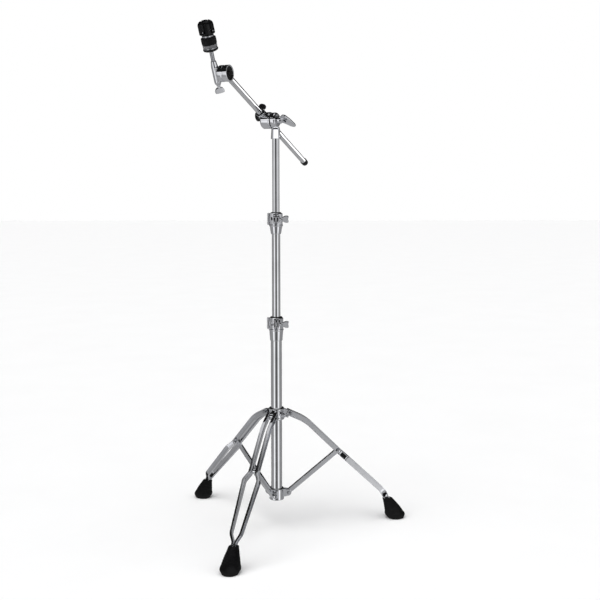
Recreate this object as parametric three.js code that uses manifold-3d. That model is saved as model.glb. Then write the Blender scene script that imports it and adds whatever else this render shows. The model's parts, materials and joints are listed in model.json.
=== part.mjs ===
// Cymbal boom stand: a folding double-braced tripod, two telescoping height
// tubes with hinged clamps, a boom tilter with a sliding boom arm, and a
// cymbal tilter that carries the washer, the felts and a quick-release nut.
//
// Millimetres, +Z up. The column stands on the Z axis of the "stand" group,
// with the floor at z = 0; the whole group is moved at the end so that its
// origin is the centre of the bottom of its box. Every moving piece hangs in
// a group whose origin is on its own pivot.

import * as THREE from 'three';
import { mergeVertices } from 'three/addons/utils/BufferGeometryUtils.js';
import Module from 'manifold-3d';

const wasm = await Module();
wasm.setup();

// ---------------------------------------------------------------- dimensions

const GAP = 0.3;              // air between pieces that touch or run in each other
const FACETS = 18;            // facets round a tube or a large round piece
const SMALL_FACETS = 8;       // facets round a pin, screw or knuckle
const deg = THREE.MathUtils.degToRad;

// Column tubes: outer radius, bore radius and the heights of both ends.
const BASE_TUBE = { radius: 15, bore: 13.5, bottom: 79, top: 544.5 };
const MIDDLE_TUBE = { radius: 11.3, bore: 10.1, bottom: 440, top: 823.5 };
const TOP_TUBE = { radius: 9.5, bore: 8.2, bottom: 735, top: 1078 };

// Height clamps: split is the height where the bell ends and the ring starts.
const LOWER_CLAMP = { split: 548, bell: 31, ring: 32, ringRadius: 19, bellRadius: 18.6, neckRadius: 16.8 };
const UPPER_CLAMP = { split: 827, bell: 24, ring: 32, ringRadius: 17.4, bellRadius: 16.6, neckRadius: 13.6 };
const BUSH_WALL = 2.7;
// Clamp hinge: a pin outside the ring; the body has a knuckle at each end and the jaw one between.
const CLAMP_HINGE = { offset: 2.2, pin: 1.8, knuckle: 3.7, margin: 1, knuckleHeight: 8 };
const CLAMP_BOLT_OFFSET = 7.6;     // wing screw outside the clamp ring

// Tripod: leg azimuths and the three pivots of one leg in its own plane (r, z).
const LEG_AZIMUTH = { right: 10.67, left: 130.67, front: 250.67 };
const HUB_PIVOT = { r: 37.4, z: 316.9 };
const BRACE_PIVOT = { r: 171.6, z: 205.0 };
const LOWER_PIVOT = { r: 30.6, z: 95.5 };
const FOOT = { r: 342, top: 59.5, topShift: -25, length: 1.03, width: 0.94 };
const HUB = { radius: 21.5, bottom: 301, top: 334, lugHalf: 4.7, lugRound: 8 };
const LOWER_HUB = { radius: 20, bottom: 78, top: 110, lugThickness: 4, lugRound: 9 };
const PIN_RADIUS = 3;
const HUB_SCREW_AZIMUTH = -49.3;

// Leg bars: a channel section, and the rail's stations (r, z, half spacing, bend length).
const BAR = { width: 8.8, height: 15, wall: 2.2 };
const BAR_RAIL = [
  { r: 29.5, z: 320.6, half: 9.6, bend: 0 },
  { r: 80, z: 296.4, half: 9.3, bend: 45 },
  { r: 177, z: 200, half: 8.8, bend: 7 },
  { r: 193, z: 184.8, half: 19.2, bend: 7 },
  { r: 300.5, z: 82.8, half: 12.8, bend: 12 },
  { r: 310, z: 66.7, half: 3.5, bend: 8 },
  { r: 322.5, z: 40, half: 3.5, bend: 0 },
];
const PINCH = { from: 185, to: 66.7, width: 0.58 };    // the bars narrow between these heights
const BRACE = { half: 4, round: 6.6 };

// Boom: the plane of the boom stands off the column by BOOM_SIDE along the tilt
// axis, and the boom passes BOOM_RISE above the tilt bolt.
const TILT_HEIGHT = 1101;
const BOOM_AZIMUTH = -116.5;
const BOOM_ELEVATION = 23.5;
const BOOM_SIDE = -40;
const BOOM_RISE = 14.6;
const BOOM = { radius: 8, bore: 6.8, lowEnd: -276.6, drumCentre: 218.5 };
const SOCKET = {
  bottom: 1052.4, radius: 12.8, shoulder: 1077.5, shoulderRadius: 11.2, neck: 1080, neckRadius: 10.2,
  screwHeight: 8, screwAzimuth: 96, screwBoss: 4,
};
const TILT_DRUM = { radius: 20, left: -8, right: 6 };
const WASHER_THICKNESS = 2;
const HOLDER = {
  radius: 12.4, half: 20, drumRadius: 21.6, drumEnd: -38, capRadius: 14.4, capFace: -52.8, capEnd: -59,
};
const KNOB = { x: 12.6, tip: 10.2, base: 13.4, top: 25, radius: 9.6 };

// Cymbal tilter: drum across the boom end, rod holder beside it.
const END_DRUM = { radius: 20.2, half: 13 };
const ROD_SIDE = -26;
const ROD_ELEVATION = 66;
const ROD = { radius: 5, screwRadius: 3.9, bottom: -8, shoulder: 61, top: 122 };

// Cymbal seat, heights along the rod from the drum centre: [bottom, top, radius].
const SEAT_CUP = { bottom: 57, rim: 63.1, radius: 18.6, sleeve: 6, sleeveTop: 89 };
const WASHER = { bottom: 63.4, top: 65.9, radius: 17.6 };
const LOWER_FELT = { bottom: 66.2, top: 73.6, radius: 18 };
const UPPER_FELT = { bottom: 73.9, top: 90.7, radius: 18.8 };
const NUT_COLLAR = { bottom: 91, top: 97.8, radius: 14.6 };
const NUT = {
  bottom: 98.1, baseTop: 102, wingBottom: 103.4, top: 130.4, radius: 19.3, slabHalf: 6.4, wingInner: 9.2,
};
const NUT_TURN = 38.5;
const NUT_PIN = { x: 12.4, z: 106 };

// -------------------------------------------------------------- solid helpers

/** Solid of a closed geometry, with its faces turned outwards. */
function solid(geometry) {
  const bare = geometry.clone();
  bare.deleteAttribute('normal');
  bare.deleteAttribute('uv');
  const merged = mergeVertices(bare, 1e-4);
  const triVerts = Uint32Array.from(merged.index.array);
  const vertProperties = Float32Array.from(merged.attributes.position.array);
  if (signedVolume(vertProperties, triVerts) < 0) {
    for (let i = 0; i < triVerts.length; i += 3) {
      [triVerts[i], triVerts[i + 1]] = [triVerts[i + 1], triVerts[i]];
    }
  }
  return new wasm.Manifold(new wasm.Mesh({ numProp: 3, vertProperties, triVerts }));
}

/** Six times the volume inside a triangle list, negative when it is inside out. */
function signedVolume(points, triangles) {
  const [a, b, c] = [new THREE.Vector3(), new THREE.Vector3(), new THREE.Vector3()];
  let sum = 0;
  for (let i = 0; i < triangles.length; i += 3) {
    a.fromArray(points, 3 * triangles[i]);
    b.fromArray(points, 3 * triangles[i + 1]);
    c.fromArray(points, 3 * triangles[i + 2]);
    sum += a.dot(b.cross(c));
  }
  return sum;
}

/** Geometry of a solid. */
function geometryOf(body) {
  const mesh = body.getMesh();
  const geometry = new THREE.BufferGeometry();
  geometry.setAttribute('position', new THREE.BufferAttribute(mesh.vertProperties, 3));
  geometry.setIndex(new THREE.BufferAttribute(mesh.triVerts, 1));
  geometry.computeVertexNormals();
  return geometry;
}

function join(...bodies) {
  return bodies.reduce((sum, body) => sum.add(body));
}

/** Solid turned round the Z axis from a closed or axis-to-axis profile of [radius, z]. */
function turned(profile, facets = FACETS) {
  const points = profile.map(([radius, z]) => new THREE.Vector2(radius, z));
  return solid(new THREE.LatheGeometry(points, facets).rotateX(Math.PI / 2));
}

/** Ring or tube between two radii. */
function ring(inner, outer, bottom, top, facets = FACETS) {
  return turned([[inner, bottom], [outer, bottom], [outer, top], [inner, top], [inner, bottom]], facets);
}

/** Solid round bar on the Z axis. */
function rod(radius, bottom, top, facets = SMALL_FACETS) {
  return turned([[0, bottom], [radius, bottom], [radius, top], [0, top]], facets);
}

/** Cutter for a round hole: the flats of the hole, not its corners, are at the radius. */
function hole(radius, bottom, top, facets = SMALL_FACETS) {
  return rod(radius / Math.cos(Math.PI / facets), bottom, top, facets);
}

/** The same body, moved and turned; angles in degrees about X, then Y, then Z. */
function placed(body, [x, y, z], [ax, ay, az] = [0, 0, 0]) {
  return body.rotate([ax, ay, az]).translate([x, y, z]);
}

/** A Z-axis body laid along Y, or along X. */
const alongY = (body) => body.rotate([-90, 0, 0]);
const alongX = (body) => body.rotate([0, 90, 0]);

function block([x0, x1], [y0, y1], [z0, z1]) {
  const box = new THREE.BoxGeometry(x1 - x0, y1 - y0, z1 - z0);
  return solid(box.translate((x0 + x1) / 2, (y0 + y1) / 2, (z0 + z1) / 2));
}

/** Flat plate: an outline in the XY plane with a thickness centred on it. */
function plate(outline, thickness, curveSegments = 6) {
  const settings = { depth: thickness, bevelEnabled: false, curveSegments };
  return solid(new THREE.ExtrudeGeometry(outline, settings).translate(0, 0, -thickness / 2));
}

/** A plate stood up in the XZ plane, its outline's y becoming z. */
const upright = (body) => body.rotate([90, 0, 0]);

function polygon(points) {
  return new THREE.Shape(points.map(([x, y]) => new THREE.Vector2(x, y)));
}

/** Straight link outline with round ends, between two points. */
function linkOutline(start, end, radius) {
  const angle = Math.atan2(end[1] - start[1], end[0] - start[0]);
  const shape = new THREE.Shape();
  shape.absarc(start[0], start[1], radius, angle + Math.PI / 2, angle + 1.5 * Math.PI, false);
  shape.absarc(end[0], end[1], radius, angle - Math.PI / 2, angle + Math.PI / 2, false);
  return shape;
}

// ------------------------------------------------------------------ materials

const finish = (color, roughness, metalness) => ({ color, roughness, metalness });
const CHROME = finish(0xd9dcdf, 0.08, 1);
const CAST = finish(0xc9ccd0, 0.16, 1);
const STEEL = finish(0xa9acb0, 0.3, 1);
const RUBBER = finish(0x161617, 0.75, 0);
const PLASTIC = finish(0x121213, 0.45, 0);
const NYLON = finish(0x1c1c1e, 0.55, 0);
const BLACK_FELT = finish(0x131315, 0.95, 0);
const GREY_FELT = finish(0x6b6b70, 0.95, 0);

function node(parent, name, body, look) {
  const mesh = new THREE.Mesh(geometryOf(body), new THREE.MeshStandardMaterial(look));
  mesh.name = name;
  parent.add(mesh);
  return mesh;
}

function group(parent, [x, y, z] = [0, 0, 0]) {
  const child = new THREE.Group();
  child.position.set(x, y, z);
  parent.add(child);
  return child;
}

const stand = new THREE.Group();

// ------------------------------------------------------------- shared fittings

/**
 * Wing screw along +Z: shaft from z = -shaft to 0, a cone neck, and a flat
 * wing in the XZ plane whose foot is at the top of the neck. The wing reaches
 * its span at the share "flare" of its height, and "dip" is the notch on top.
 */
function wingScrew({ radius, shaft, neck, neckRadius, span, height, thickness, dip = 0.4, flare = 0.25 }) {
  const stem = turned([
    [0, -shaft], [radius, -shaft], [radius, 0], [neckRadius, 0],
    [neckRadius * 0.7, neck], [0, neck],
  ], SMALL_FACETS);
  const half = span / 2;
  const waist = neckRadius * 0.8;
  const wing = new THREE.Shape();
  wing.moveTo(-waist, neck - 2);
  wing.lineTo(waist, neck - 2);
  wing.lineTo(half - 3, neck + height * flare);
  wing.quadraticCurveTo(half + 1, neck + height * 0.6, half - 2, neck + height);
  wing.quadraticCurveTo(half * 0.5, neck + height * 0.95, 0, neck + height * (1 - dip));
  wing.quadraticCurveTo(-half * 0.5, neck + height * 0.95, -half + 2, neck + height);
  wing.quadraticCurveTo(-half - 1, neck + height * 0.6, -half + 3, neck + height * flare);
  return stem.add(upright(plate(wing, thickness, 3)));
}

/** Pin along Y, with a flat head on both ends. */
function headedPin(radius, grip) {
  const head = radius + 1.6;
  const end = grip / 2 + 1.6;
  return alongY(turned([
    [0, -end], [head, -end], [head, -grip / 2], [radius, -grip / 2],
    [radius, grip / 2], [head, grip / 2], [head, end], [0, end],
  ], SMALL_FACETS));
}

// -------------------------------------------------------------------- column

function buildTube(parent, name, { radius, bore, bottom, top }) {
  node(parent, name, ring(bore, radius, bottom, top), CHROME);
}

/**
 * One height clamp. The body is a bell round the wide tube with a ring on top;
 * the ring's front left quarter is a jaw on a hinge pin, closed by a wing screw
 * through two ears. A nylon bush in the ring grips the narrow tube.
 */
function buildClamp(parent, prefix, clamp, wideTube, narrowTube) {
  const { split, bell, ring: height, ringRadius, bellRadius, neckRadius } = clamp;
  const bushBore = narrowTube.radius + GAP;
  const ringBore = bushBore + BUSH_WALL + GAP;
  const bellBore = wideTube.radius + GAP;
  const tubeStop = -3.2;
  const pin = { x: -ringRadius - CLAMP_HINGE.offset, radius: CLAMP_HINGE.pin, knuckle: CLAMP_HINGE.knuckle };
  const knuckleTop = CLAMP_HINGE.margin + CLAMP_HINGE.knuckleHeight;
  const bolt = { y: -ringRadius - CLAMP_BOLT_OFFSET, z: height / 2, radius: 3, slack: 4.6 };
  const ear = { inner: 0.8, outer: 7.5, front: bolt.y - 7, back: -ringBore - 0.6, low: 5, high: height - 5 };
  const place = group(parent, [0, 0, split]);

  const shell = turned([
    [bellBore, -bell], [neckRadius - 0.8, -bell], [neckRadius, -bell + 1.5], [bellRadius, -4],
    [ringRadius + 0.9, -3], [ringRadius + 0.9, 0], [ringRadius, 1], [ringRadius, height - 2],
    [ringRadius - 2, height],
    [ringBore, height], [ringBore, tubeStop], [bellBore, tubeStop], [bellBore, -bell],
  ]);
  const reach = 2 * ringRadius;
  const jawZone = (edge, bottom) => plate(polygon([
    [edge, edge - 0.4], [edge, -reach], [-reach, -reach], [-reach, edge - 0.4],
  ]), 2 * height).translate([0, 0, height + bottom]);
  const knuckle = (low, high, side) => join(
    placed(rod(pin.knuckle, low, high), [pin.x, 0, 0]),
    block([pin.x, -ringRadius + 3], side > 0 ? [0, pin.knuckle] : [-pin.knuckle, -0.8], [low, high]),
  );
  const recess = (low, high) => placed(rod(pin.knuckle + 0.5, low, high), [pin.x, 0, 0]);
  const pinHole = placed(hole(pin.radius + GAP, -1, height + 1), [pin.x, 0, 0]);
  const boltHole = (radius) => placed(alongX(hole(radius, -20, 20)), [0, bolt.y, bolt.z]);
  const bore = rod(ringBore, tubeStop, height + 1, FACETS);

  const bodyEar = block([ear.inner, ear.outer], [ear.front, ear.back], [ear.low, ear.high]);
  const body = shell
    .subtract(jawZone(0.4, 0.2))
    .add(bodyEar)
    .add(knuckle(CLAMP_HINGE.margin, knuckleTop, 1))
    .add(knuckle(height - knuckleTop, height - CLAMP_HINGE.margin, 1))
    .subtract(recess(knuckleTop + 0.2, height - knuckleTop - 0.2))
    .subtract(pinHole)
    .subtract(boltHole(bolt.radius + GAP))
    .subtract(bore);
  node(place, `${prefix}_clamp_body`, body, CAST);

  const jawRing = ring(ringBore, ringRadius, 0.8, height).intersect(jawZone(-0.4, 0.8));
  const jawEar = block([-ear.outer, -ear.inner], [ear.front, ear.back], [ear.low, ear.high]);
  const jaw = jawRing
    .subtract(recess(0, knuckleTop + 0.4))
    .subtract(recess(height - knuckleTop - 0.4, height))
    .add(jawEar)
    .add(knuckle(knuckleTop + 0.6, height - knuckleTop - 0.6, -1))
    .subtract(pinHole)
    .subtract(boltHole(bolt.slack))
    .subtract(bore);
  const jawPlace = group(place, [pin.x, 0, 0]);
  node(jawPlace, `${prefix}_clamp_jaw`, jaw.translate([-pin.x, 0, 0]), CAST);

  const hingePin = rod(pin.radius, 0.2, height - 0.2);
  node(group(place, [pin.x, 0, 0]), `${prefix}_clamp_hinge_pin`, hingePin, STEEL);

  const screw = alongX(wingScrew({
    radius: bolt.radius, shaft: ear.outer * 2 + 6, neck: 8, neckRadius: 5.5,
    span: 22, height: 18, thickness: 5, dip: 0.12,
  }).rotate([0, 0, 24]));
  const nut = placed(alongX(rod(5.4, 0, 4, 6)), [-2 * ear.outer - 6.5, 0, 0]);
  const screwPlace = group(place, [ear.outer + GAP, bolt.y, bolt.z]);
  node(screwPlace, `${prefix}_clamp_wing_screw`, screw.add(nut), CHROME);

  const rim = narrowTube.radius + BUSH_WALL + 1.6;
  const bush = turned([
    [bushBore, tubeStop + GAP], [bushBore + BUSH_WALL, tubeStop + GAP], [bushBore + BUSH_WALL, height + GAP],
    [rim, height + GAP], [rim, height + 2], [bushBore, height + 2], [bushBore, tubeStop + GAP],
  ]);
  node(place, `${prefix}_clamp_bush`, bush, NYLON);
}

// ------------------------------------------------------------------ leg hub

/** Azimuth turn of a body modelled with its radius along +X. */
const atAzimuth = (body, azimuth) => body.rotate([0, 0, azimuth]);

function lugOutline(pivot, root, bottom, top, round) {
  const shape = new THREE.Shape();
  shape.moveTo(root, top);
  shape.lineTo(root, bottom);
  shape.absarc(pivot.r, pivot.z, round, -Math.PI / 2, Math.PI / 2, false);
  return shape;
}

function buildLegHub(parent) {
  const lug = upright(plate(lugOutline(HUB_PIVOT, HUB.radius - 4, HUB.bottom + 3, HUB.top - 3, HUB.lugRound),
    2 * HUB.lugHalf));
  const pinHole = placed(alongY(hole(PIN_RADIUS + GAP, -20, 20)), [HUB_PIVOT.r, 0, HUB_PIVOT.z]);
  const boss = placed(alongX(rod(7, 12, HUB.radius + 5, FACETS)), [0, 0, HUB_PIVOT.z]);
  const screwHole = placed(alongX(hole(4 + GAP, 10, HUB.radius + 8)), [0, 0, HUB_PIVOT.z]);
  let body = turned([
    [BASE_TUBE.radius, HUB.bottom], [HUB.radius - 2, HUB.bottom], [HUB.radius, HUB.bottom + 3],
    [HUB.radius, HUB.top - 3], [HUB.radius - 2, HUB.top], [BASE_TUBE.radius, HUB.top],
    [BASE_TUBE.radius, HUB.bottom],
  ]);
  for (const azimuth of Object.values(LEG_AZIMUTH)) body = body.add(atAzimuth(lug, azimuth));
  body = body.add(atAzimuth(boss, HUB_SCREW_AZIMUTH));
  for (const azimuth of Object.values(LEG_AZIMUTH)) body = body.subtract(atAzimuth(pinHole, azimuth));
  body = body
    .subtract(atAzimuth(screwHole, HUB_SCREW_AZIMUTH))
    .subtract(rod(BASE_TUBE.radius + GAP, HUB.bottom - 1, HUB.top + 1, FACETS));
  node(parent, 'leg_hub', body, CAST);

  const screw = wingScrew({ radius: 4, shaft: 10, neck: 4, neckRadius: 6, span: 20, height: 11, thickness: 5 });
  const place = group(parent, [0, 0, HUB_PIVOT.z]);
  place.rotation.z = deg(HUB_SCREW_AZIMUTH);
  const onBoss = group(place, [HUB.radius + 5 + GAP, 0, 0]);
  node(onBoss, 'hub_wing_screw', alongX(screw.rotate([0, 0, 60])), CHROME);
}

function buildLowerHub(parent) {
  const outline = lugOutline(LOWER_PIVOT, LOWER_HUB.radius - 4, LOWER_PIVOT.z - 11, LOWER_PIVOT.z + 11,
    LOWER_HUB.lugRound);
  const lug = upright(plate(outline, LOWER_HUB.lugThickness));
  const offset = BRACE.half + 0.4 + LOWER_HUB.lugThickness / 2;
  const pair = join(lug.translate([0, offset, 0]), lug.translate([0, -offset, 0]));
  const pinHole = placed(alongY(hole(PIN_RADIUS + GAP, -20, 20)), [LOWER_PIVOT.r, 0, LOWER_PIVOT.z]);
  let body = ring(BASE_TUBE.radius, LOWER_HUB.radius, LOWER_HUB.bottom, LOWER_HUB.top);
  for (const azimuth of Object.values(LEG_AZIMUTH)) body = body.add(atAzimuth(pair, azimuth));
  for (const azimuth of Object.values(LEG_AZIMUTH)) body = body.subtract(atAzimuth(pinHole, azimuth));
  body = body.subtract(rod(BASE_TUBE.radius + GAP, LOWER_HUB.bottom - 1, LOWER_HUB.top + 1, FACETS));
  node(parent, 'lower_hub', body, CAST);
}

function buildBasePlug(parent) {
  const body = turned([
    [0, BASE_TUBE.bottom - 2.4], [BASE_TUBE.radius - 0.4, BASE_TUBE.bottom - 2.4],
    [BASE_TUBE.radius - 0.4, BASE_TUBE.bottom - GAP], [BASE_TUBE.bore - GAP, BASE_TUBE.bottom - GAP],
    [BASE_TUBE.bore - GAP, BASE_TUBE.bottom + 14], [BASE_TUBE.bore - 3, BASE_TUBE.bottom + 14],
    [BASE_TUBE.bore - 3, BASE_TUBE.bottom + 2], [0, BASE_TUBE.bottom + 2],
  ]);
  node(parent, 'base_end_plug', body, PLASTIC);
}

// ------------------------------------------------------------------ leg bars

/** Stations along the rail: each bend becomes a curve of two chords. */
function railStations(rail) {
  const corner = rail.map(({ r, z, half }) => new THREE.Vector3(r, half, z));
  const stations = [corner[0]];
  for (let i = 1; i < rail.length - 1; i += 1) {
    const before = corner[i - 1].clone().sub(corner[i]).setLength(rail[i].bend / 2).add(corner[i]);
    const after = corner[i + 1].clone().sub(corner[i]).setLength(rail[i].bend / 2).add(corner[i]);
    const curve = new THREE.QuadraticBezierCurve3(before, corner[i], after);
    stations.push(...curve.getPoints(2));
  }
  stations.push(corner[corner.length - 1]);
  return stations;
}

/** Share of its full width that a bar has at a height. */
function barWidthAt(z) {
  const share = THREE.MathUtils.clamp((z - PINCH.to) / (PINCH.from - PINCH.to), 0, 1);
  return THREE.MathUtils.lerp(PINCH.width, 1, share);
}

/**
 * Section swept along stations; the section's x lies across the leg, its y in the leg plane. The
 * width follows the pinch of the bars.
 */
function swept(section, stations) {
  const steps = stations.length - 1;
  const geometry = new THREE.ExtrudeGeometry(section, { steps, depth: steps, bevelEnabled: false });
  const position = geometry.attributes.position;
  const point = new THREE.Vector3();
  for (let i = 0; i < position.count; i += 1) {
    point.fromBufferAttribute(position, i);
    const index = Math.round(point.z);
    const before = stations[Math.max(index - 1, 0)];
    const after = stations[Math.min(index + 1, steps)];
    const along = after.clone().sub(before).normalize();
    const upward = new THREE.Vector3(0, 1, 0).cross(along).normalize().negate();
    const across = upward.clone().cross(along).normalize().negate();
    const width = point.x * barWidthAt(stations[index].z);
    const moved = stations[index].clone().addScaledVector(across, width).addScaledVector(upward, point.y);
    position.setXYZ(i, moved.x, moved.y, moved.z);
  }
  return solid(geometry);
}

/** Channel section, open towards the leg plane (its negative x side). */
function channelOutline() {
  const [x, y, wall] = [BAR.width / 2, BAR.height / 2, BAR.wall];
  return polygon([[-x, -y], [x, -y], [x, y], [-x, y], [-x, y - wall], [x - wall, y - wall], [x - wall, -y + wall],
    [-x, -y + wall]]);
}

function barOutline(clearance) {
  const [x, y] = [BAR.width / 2 + clearance, BAR.height / 2 + clearance];
  return polygon([[-x, -y], [x, -y], [x, y], [-x, y]]);
}

/** One bar of a leg, in the leg's plane frame, on its positive side. */
function legBar() {
  const webFace = BAR.width / 2;
  const hubHole = placed(alongY(hole(PIN_RADIUS + GAP, 0, 30)), [HUB_PIVOT.r, 0, HUB_PIVOT.z]);
  const rivet = placed(alongY(join(
    rod(PIN_RADIUS, BRACE.half + GAP, 8.9 + webFace - 1),
    turned([[0, 8.9 + webFace - 1.4], [5, 8.9 + webFace - 1.4], [5, 8.9 + webFace + 0.6],
      [3.4, 8.9 + webFace + 1.8], [0, 8.9 + webFace + 1.8]], SMALL_FACETS),
  )), [BRACE_PIVOT.r, 0, BRACE_PIVOT.z]);
  return swept(channelOutline(), railStations(BAR_RAIL)).subtract(hubHole).add(rivet);
}

/** Rubber boot: a leaning teardrop on a wider, chamfered sole, with a socket for the two bars. */
function boot() {
  const profile = [[0, 0], [21.5, 0], [27.4, 10], [27.4, 15], [25.4, 19], [22.2, 32], [17.8, 45.5], [15, 54.5],
    [13.2, FOOT.top], [0, FOOT.top]];
  const points = profile.map(([radius, z]) => new THREE.Vector2(radius, z));
  const geometry = new THREE.LatheGeometry(points, 16).rotateX(Math.PI / 2);
  const position = geometry.attributes.position;
  for (let i = 0; i < position.count; i += 1) {
    const height = Math.max(position.getZ(i) / FOOT.top, 0);
    position.setX(i, position.getX(i) + FOOT.topShift * height ** 1.4);
  }
  const end = BAR_RAIL[BAR_RAIL.length - 1];
  const bend = BAR_RAIL[BAR_RAIL.length - 2];
  const along = new THREE.Vector3(end.r - bend.r, end.half - bend.half, end.z - bend.z).normalize();
  const stop = new THREE.Vector3(end.r, end.half, end.z);
  const stations = [stop.clone().addScaledVector(along, GAP), stop.clone().addScaledVector(along, -33)];
  const socket = swept(barOutline(0.6), stations);
  return solid(geometry.scale(FOOT.length, FOOT.width, 1).translate(FOOT.r, 0, 0))
    .subtract(socket)
    .subtract(socket.mirror([0, 1, 0]));
}

function buildLeg(parent, side) {
  const plane = group(parent);
  plane.rotation.z = deg(LEG_AZIMUTH[side]);
  const leg = group(plane, [HUB_PIVOT.r, 0, HUB_PIVOT.z]);
  const toHub = [-HUB_PIVOT.r, 0, -HUB_PIVOT.z];
  const bar = legBar();
  node(leg, `leg_${side}_bar_1`, bar.translate(toHub), CHROME);
  node(leg, `leg_${side}_bar_2`, bar.mirror([0, 1, 0]).translate(toHub), CHROME);
  node(leg, `leg_${side}_boot`, boot().translate(toHub), RUBBER);
  node(group(plane, [HUB_PIVOT.r, 0, HUB_PIVOT.z]), `leg_${side}_hub_pin`, headedPin(PIN_RADIUS, 29.4), STEEL);

  const brace = group(plane, [LOWER_PIVOT.r, 0, LOWER_PIVOT.z]);
  const end = [BRACE_PIVOT.r - LOWER_PIVOT.r, BRACE_PIVOT.z - LOWER_PIVOT.z];
  const bushRadius = 4.4;
  const holes = join(
    alongY(hole(PIN_RADIUS + GAP, -9, 9)),
    placed(alongY(hole(bushRadius + GAP, -9, 9)), [end[0], 0, end[1]]),
  );
  const link = upright(plate(linkOutline([0, 0], end, BRACE.round), 2 * BRACE.half, 5)).subtract(holes);
  node(brace, `brace_${side}`, link, CHROME);
  node(group(brace, [end[0], 0, end[1]]), `brace_${side}_bush`, alongY(rod(bushRadius, -BRACE.half, BRACE.half)),
    STEEL);
  node(group(plane, [LOWER_PIVOT.r, 0, LOWER_PIVOT.z]), `brace_${side}_pin`, headedPin(PIN_RADIUS, 17.4), STEEL);
}

// --------------------------------------------------------------- boom tilter

/** Socket on the top tube with the fixed half of the tilter drum. */
function buildTilterBase(head) {
  const drop = SOCKET.bottom - TILT_HEIGHT;
  const drumBottom = -TILT_DRUM.radius + 3;
  const cone = turned([
    [0, drop], [SOCKET.radius, drop], [SOCKET.shoulderRadius, SOCKET.shoulder - TILT_HEIGHT],
    [SOCKET.neckRadius, SOCKET.neck - TILT_HEIGHT], [SOCKET.neckRadius, drumBottom], [0, drumBottom],
  ]);
  const screwBoss = alongX(rod(SOCKET.screwBoss, TOP_TUBE.radius, SOCKET.radius + 1.6))
    .rotate([0, 0, SOCKET.screwAzimuth])
    .translate([0, 0, drop + SOCKET.screwHeight]);
  const drum = alongY(turned([
    [0, TILT_DRUM.left], [TILT_DRUM.radius, TILT_DRUM.left], [TILT_DRUM.radius, TILT_DRUM.right - 4],
    [TILT_DRUM.radius - 3, TILT_DRUM.right], [0, TILT_DRUM.right],
  ]));
  const tubeHole = rod(TOP_TUBE.radius + GAP, drop - 1, TOP_TUBE.top - TILT_HEIGHT + GAP, FACETS);
  const boltHole = alongY(hole(4 + GAP, -30, 30));
  node(head, 'tilter_base', join(cone, drum, screwBoss).subtract(tubeHole).subtract(boltHole), CAST);
}

/** Bolt through the tilter with its lever: a hub and a two-ended paddle that slopes outwards. */
function buildTilterLever(head) {
  const outline = polygon([
    [10, -8], [17, -9], [21, -16], [28, -20], [34, -17], [42, -3], [47, 10], [50, 19], [49, 25], [45, 27],
    [36, 24], [25, 14], [18, 9], [10, 8],
  ]);
  const opening = polygon([[22, -3], [27, -5], [32, 7], [28, 8]]);
  const paddle = plate(outline, 6).subtract(plate(opening, 8)).rotate([0, 0, 90]);
  const shaft = alongY(join(
    rod(4, -38, 12),
    turned([[0, TILT_DRUM.right + GAP], [10, TILT_DRUM.right + GAP], [10, 15], [7, 20], [0, 20]], FACETS),
  ));
  const lever = group(head);
  lever.rotation.y = deg(-127);
  node(lever, 'tilter_lever', shaft.add(paddle.rotate([0, 90, 0])), CHROME);
}

function buildBoomHolder(boomFrame) {
  const washerFace = TILT_DRUM.left - GAP;
  const washer = alongY(ring(4.6, TILT_DRUM.radius - 4.5, washerFace - WASHER_THICKNESS, washerFace));
  node(boomFrame, 'tilter_friction_washer', washer, NYLON);

  const { drumRadius, drumEnd } = HOLDER;
  const drumFace = washerFace - WASHER_THICKNESS - GAP;
  const drum = alongY(turned([
    [0, drumEnd], [drumRadius - 4, drumEnd], [drumRadius, drumEnd + 4], [drumRadius, drumFace], [0, drumFace],
  ]));
  const sleeve = placed(alongX(rod(HOLDER.radius, -HOLDER.half, HOLDER.half, FACETS)), [0, BOOM_SIDE, BOOM_RISE]);
  const capBoss = alongY(rod(9, HOLDER.capFace + GAP, HOLDER.capFace + 6)).translate([0, 0, BOOM_RISE]);
  const boomHole = placed(alongX(hole(BOOM.radius + 1.9, -60, 60, FACETS)), [0, BOOM_SIDE, BOOM_RISE]);
  const boltHole = alongY(hole(4 + GAP, -38.3, 0));
  const knobAt = [KNOB.x, BOOM_SIDE, BOOM_RISE];
  const body = join(drum, sleeve, capBoss, placed(rod(7, 8, KNOB.base - GAP), knobAt))
    .subtract(boomHole)
    .subtract(boltHole)
    .subtract(placed(hole(3 + GAP, 0, KNOB.base + 1), knobAt));
  node(boomFrame, 'boom_holder', body, CAST);

  const { capRadius, capFace, capEnd } = HOLDER;
  const cap = alongY(turned([
    [0, capEnd], [capRadius - 3.5, capEnd], [capRadius, capEnd + 3], [capRadius, capFace], [0, capFace],
  ]));
  node(boomFrame, 'boom_holder_cap', cap.translate([0, 0, BOOM_RISE]), PLASTIC);

  const knob = turned([
    [0, KNOB.tip], [3, KNOB.tip], [3, KNOB.base], [6, KNOB.base], [KNOB.radius, KNOB.base + 3],
    [KNOB.radius, KNOB.top - 2], [KNOB.radius - 2, KNOB.top], [0, KNOB.top],
  ], 16);
  const knobPlace = group(boomFrame, knobAt);
  node(knobPlace, 'boom_clamp_knob', knob, PLASTIC);

  const bush = placed(alongX(ring(BOOM.radius + GAP, BOOM.radius + 1.6, -HOLDER.half - 1, HOLDER.half + 1)),
    [0, BOOM_SIDE, BOOM_RISE]);
  node(boomFrame, 'boom_bush', bush, NYLON);
}

// ---------------------------------------------------------------------- boom

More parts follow.
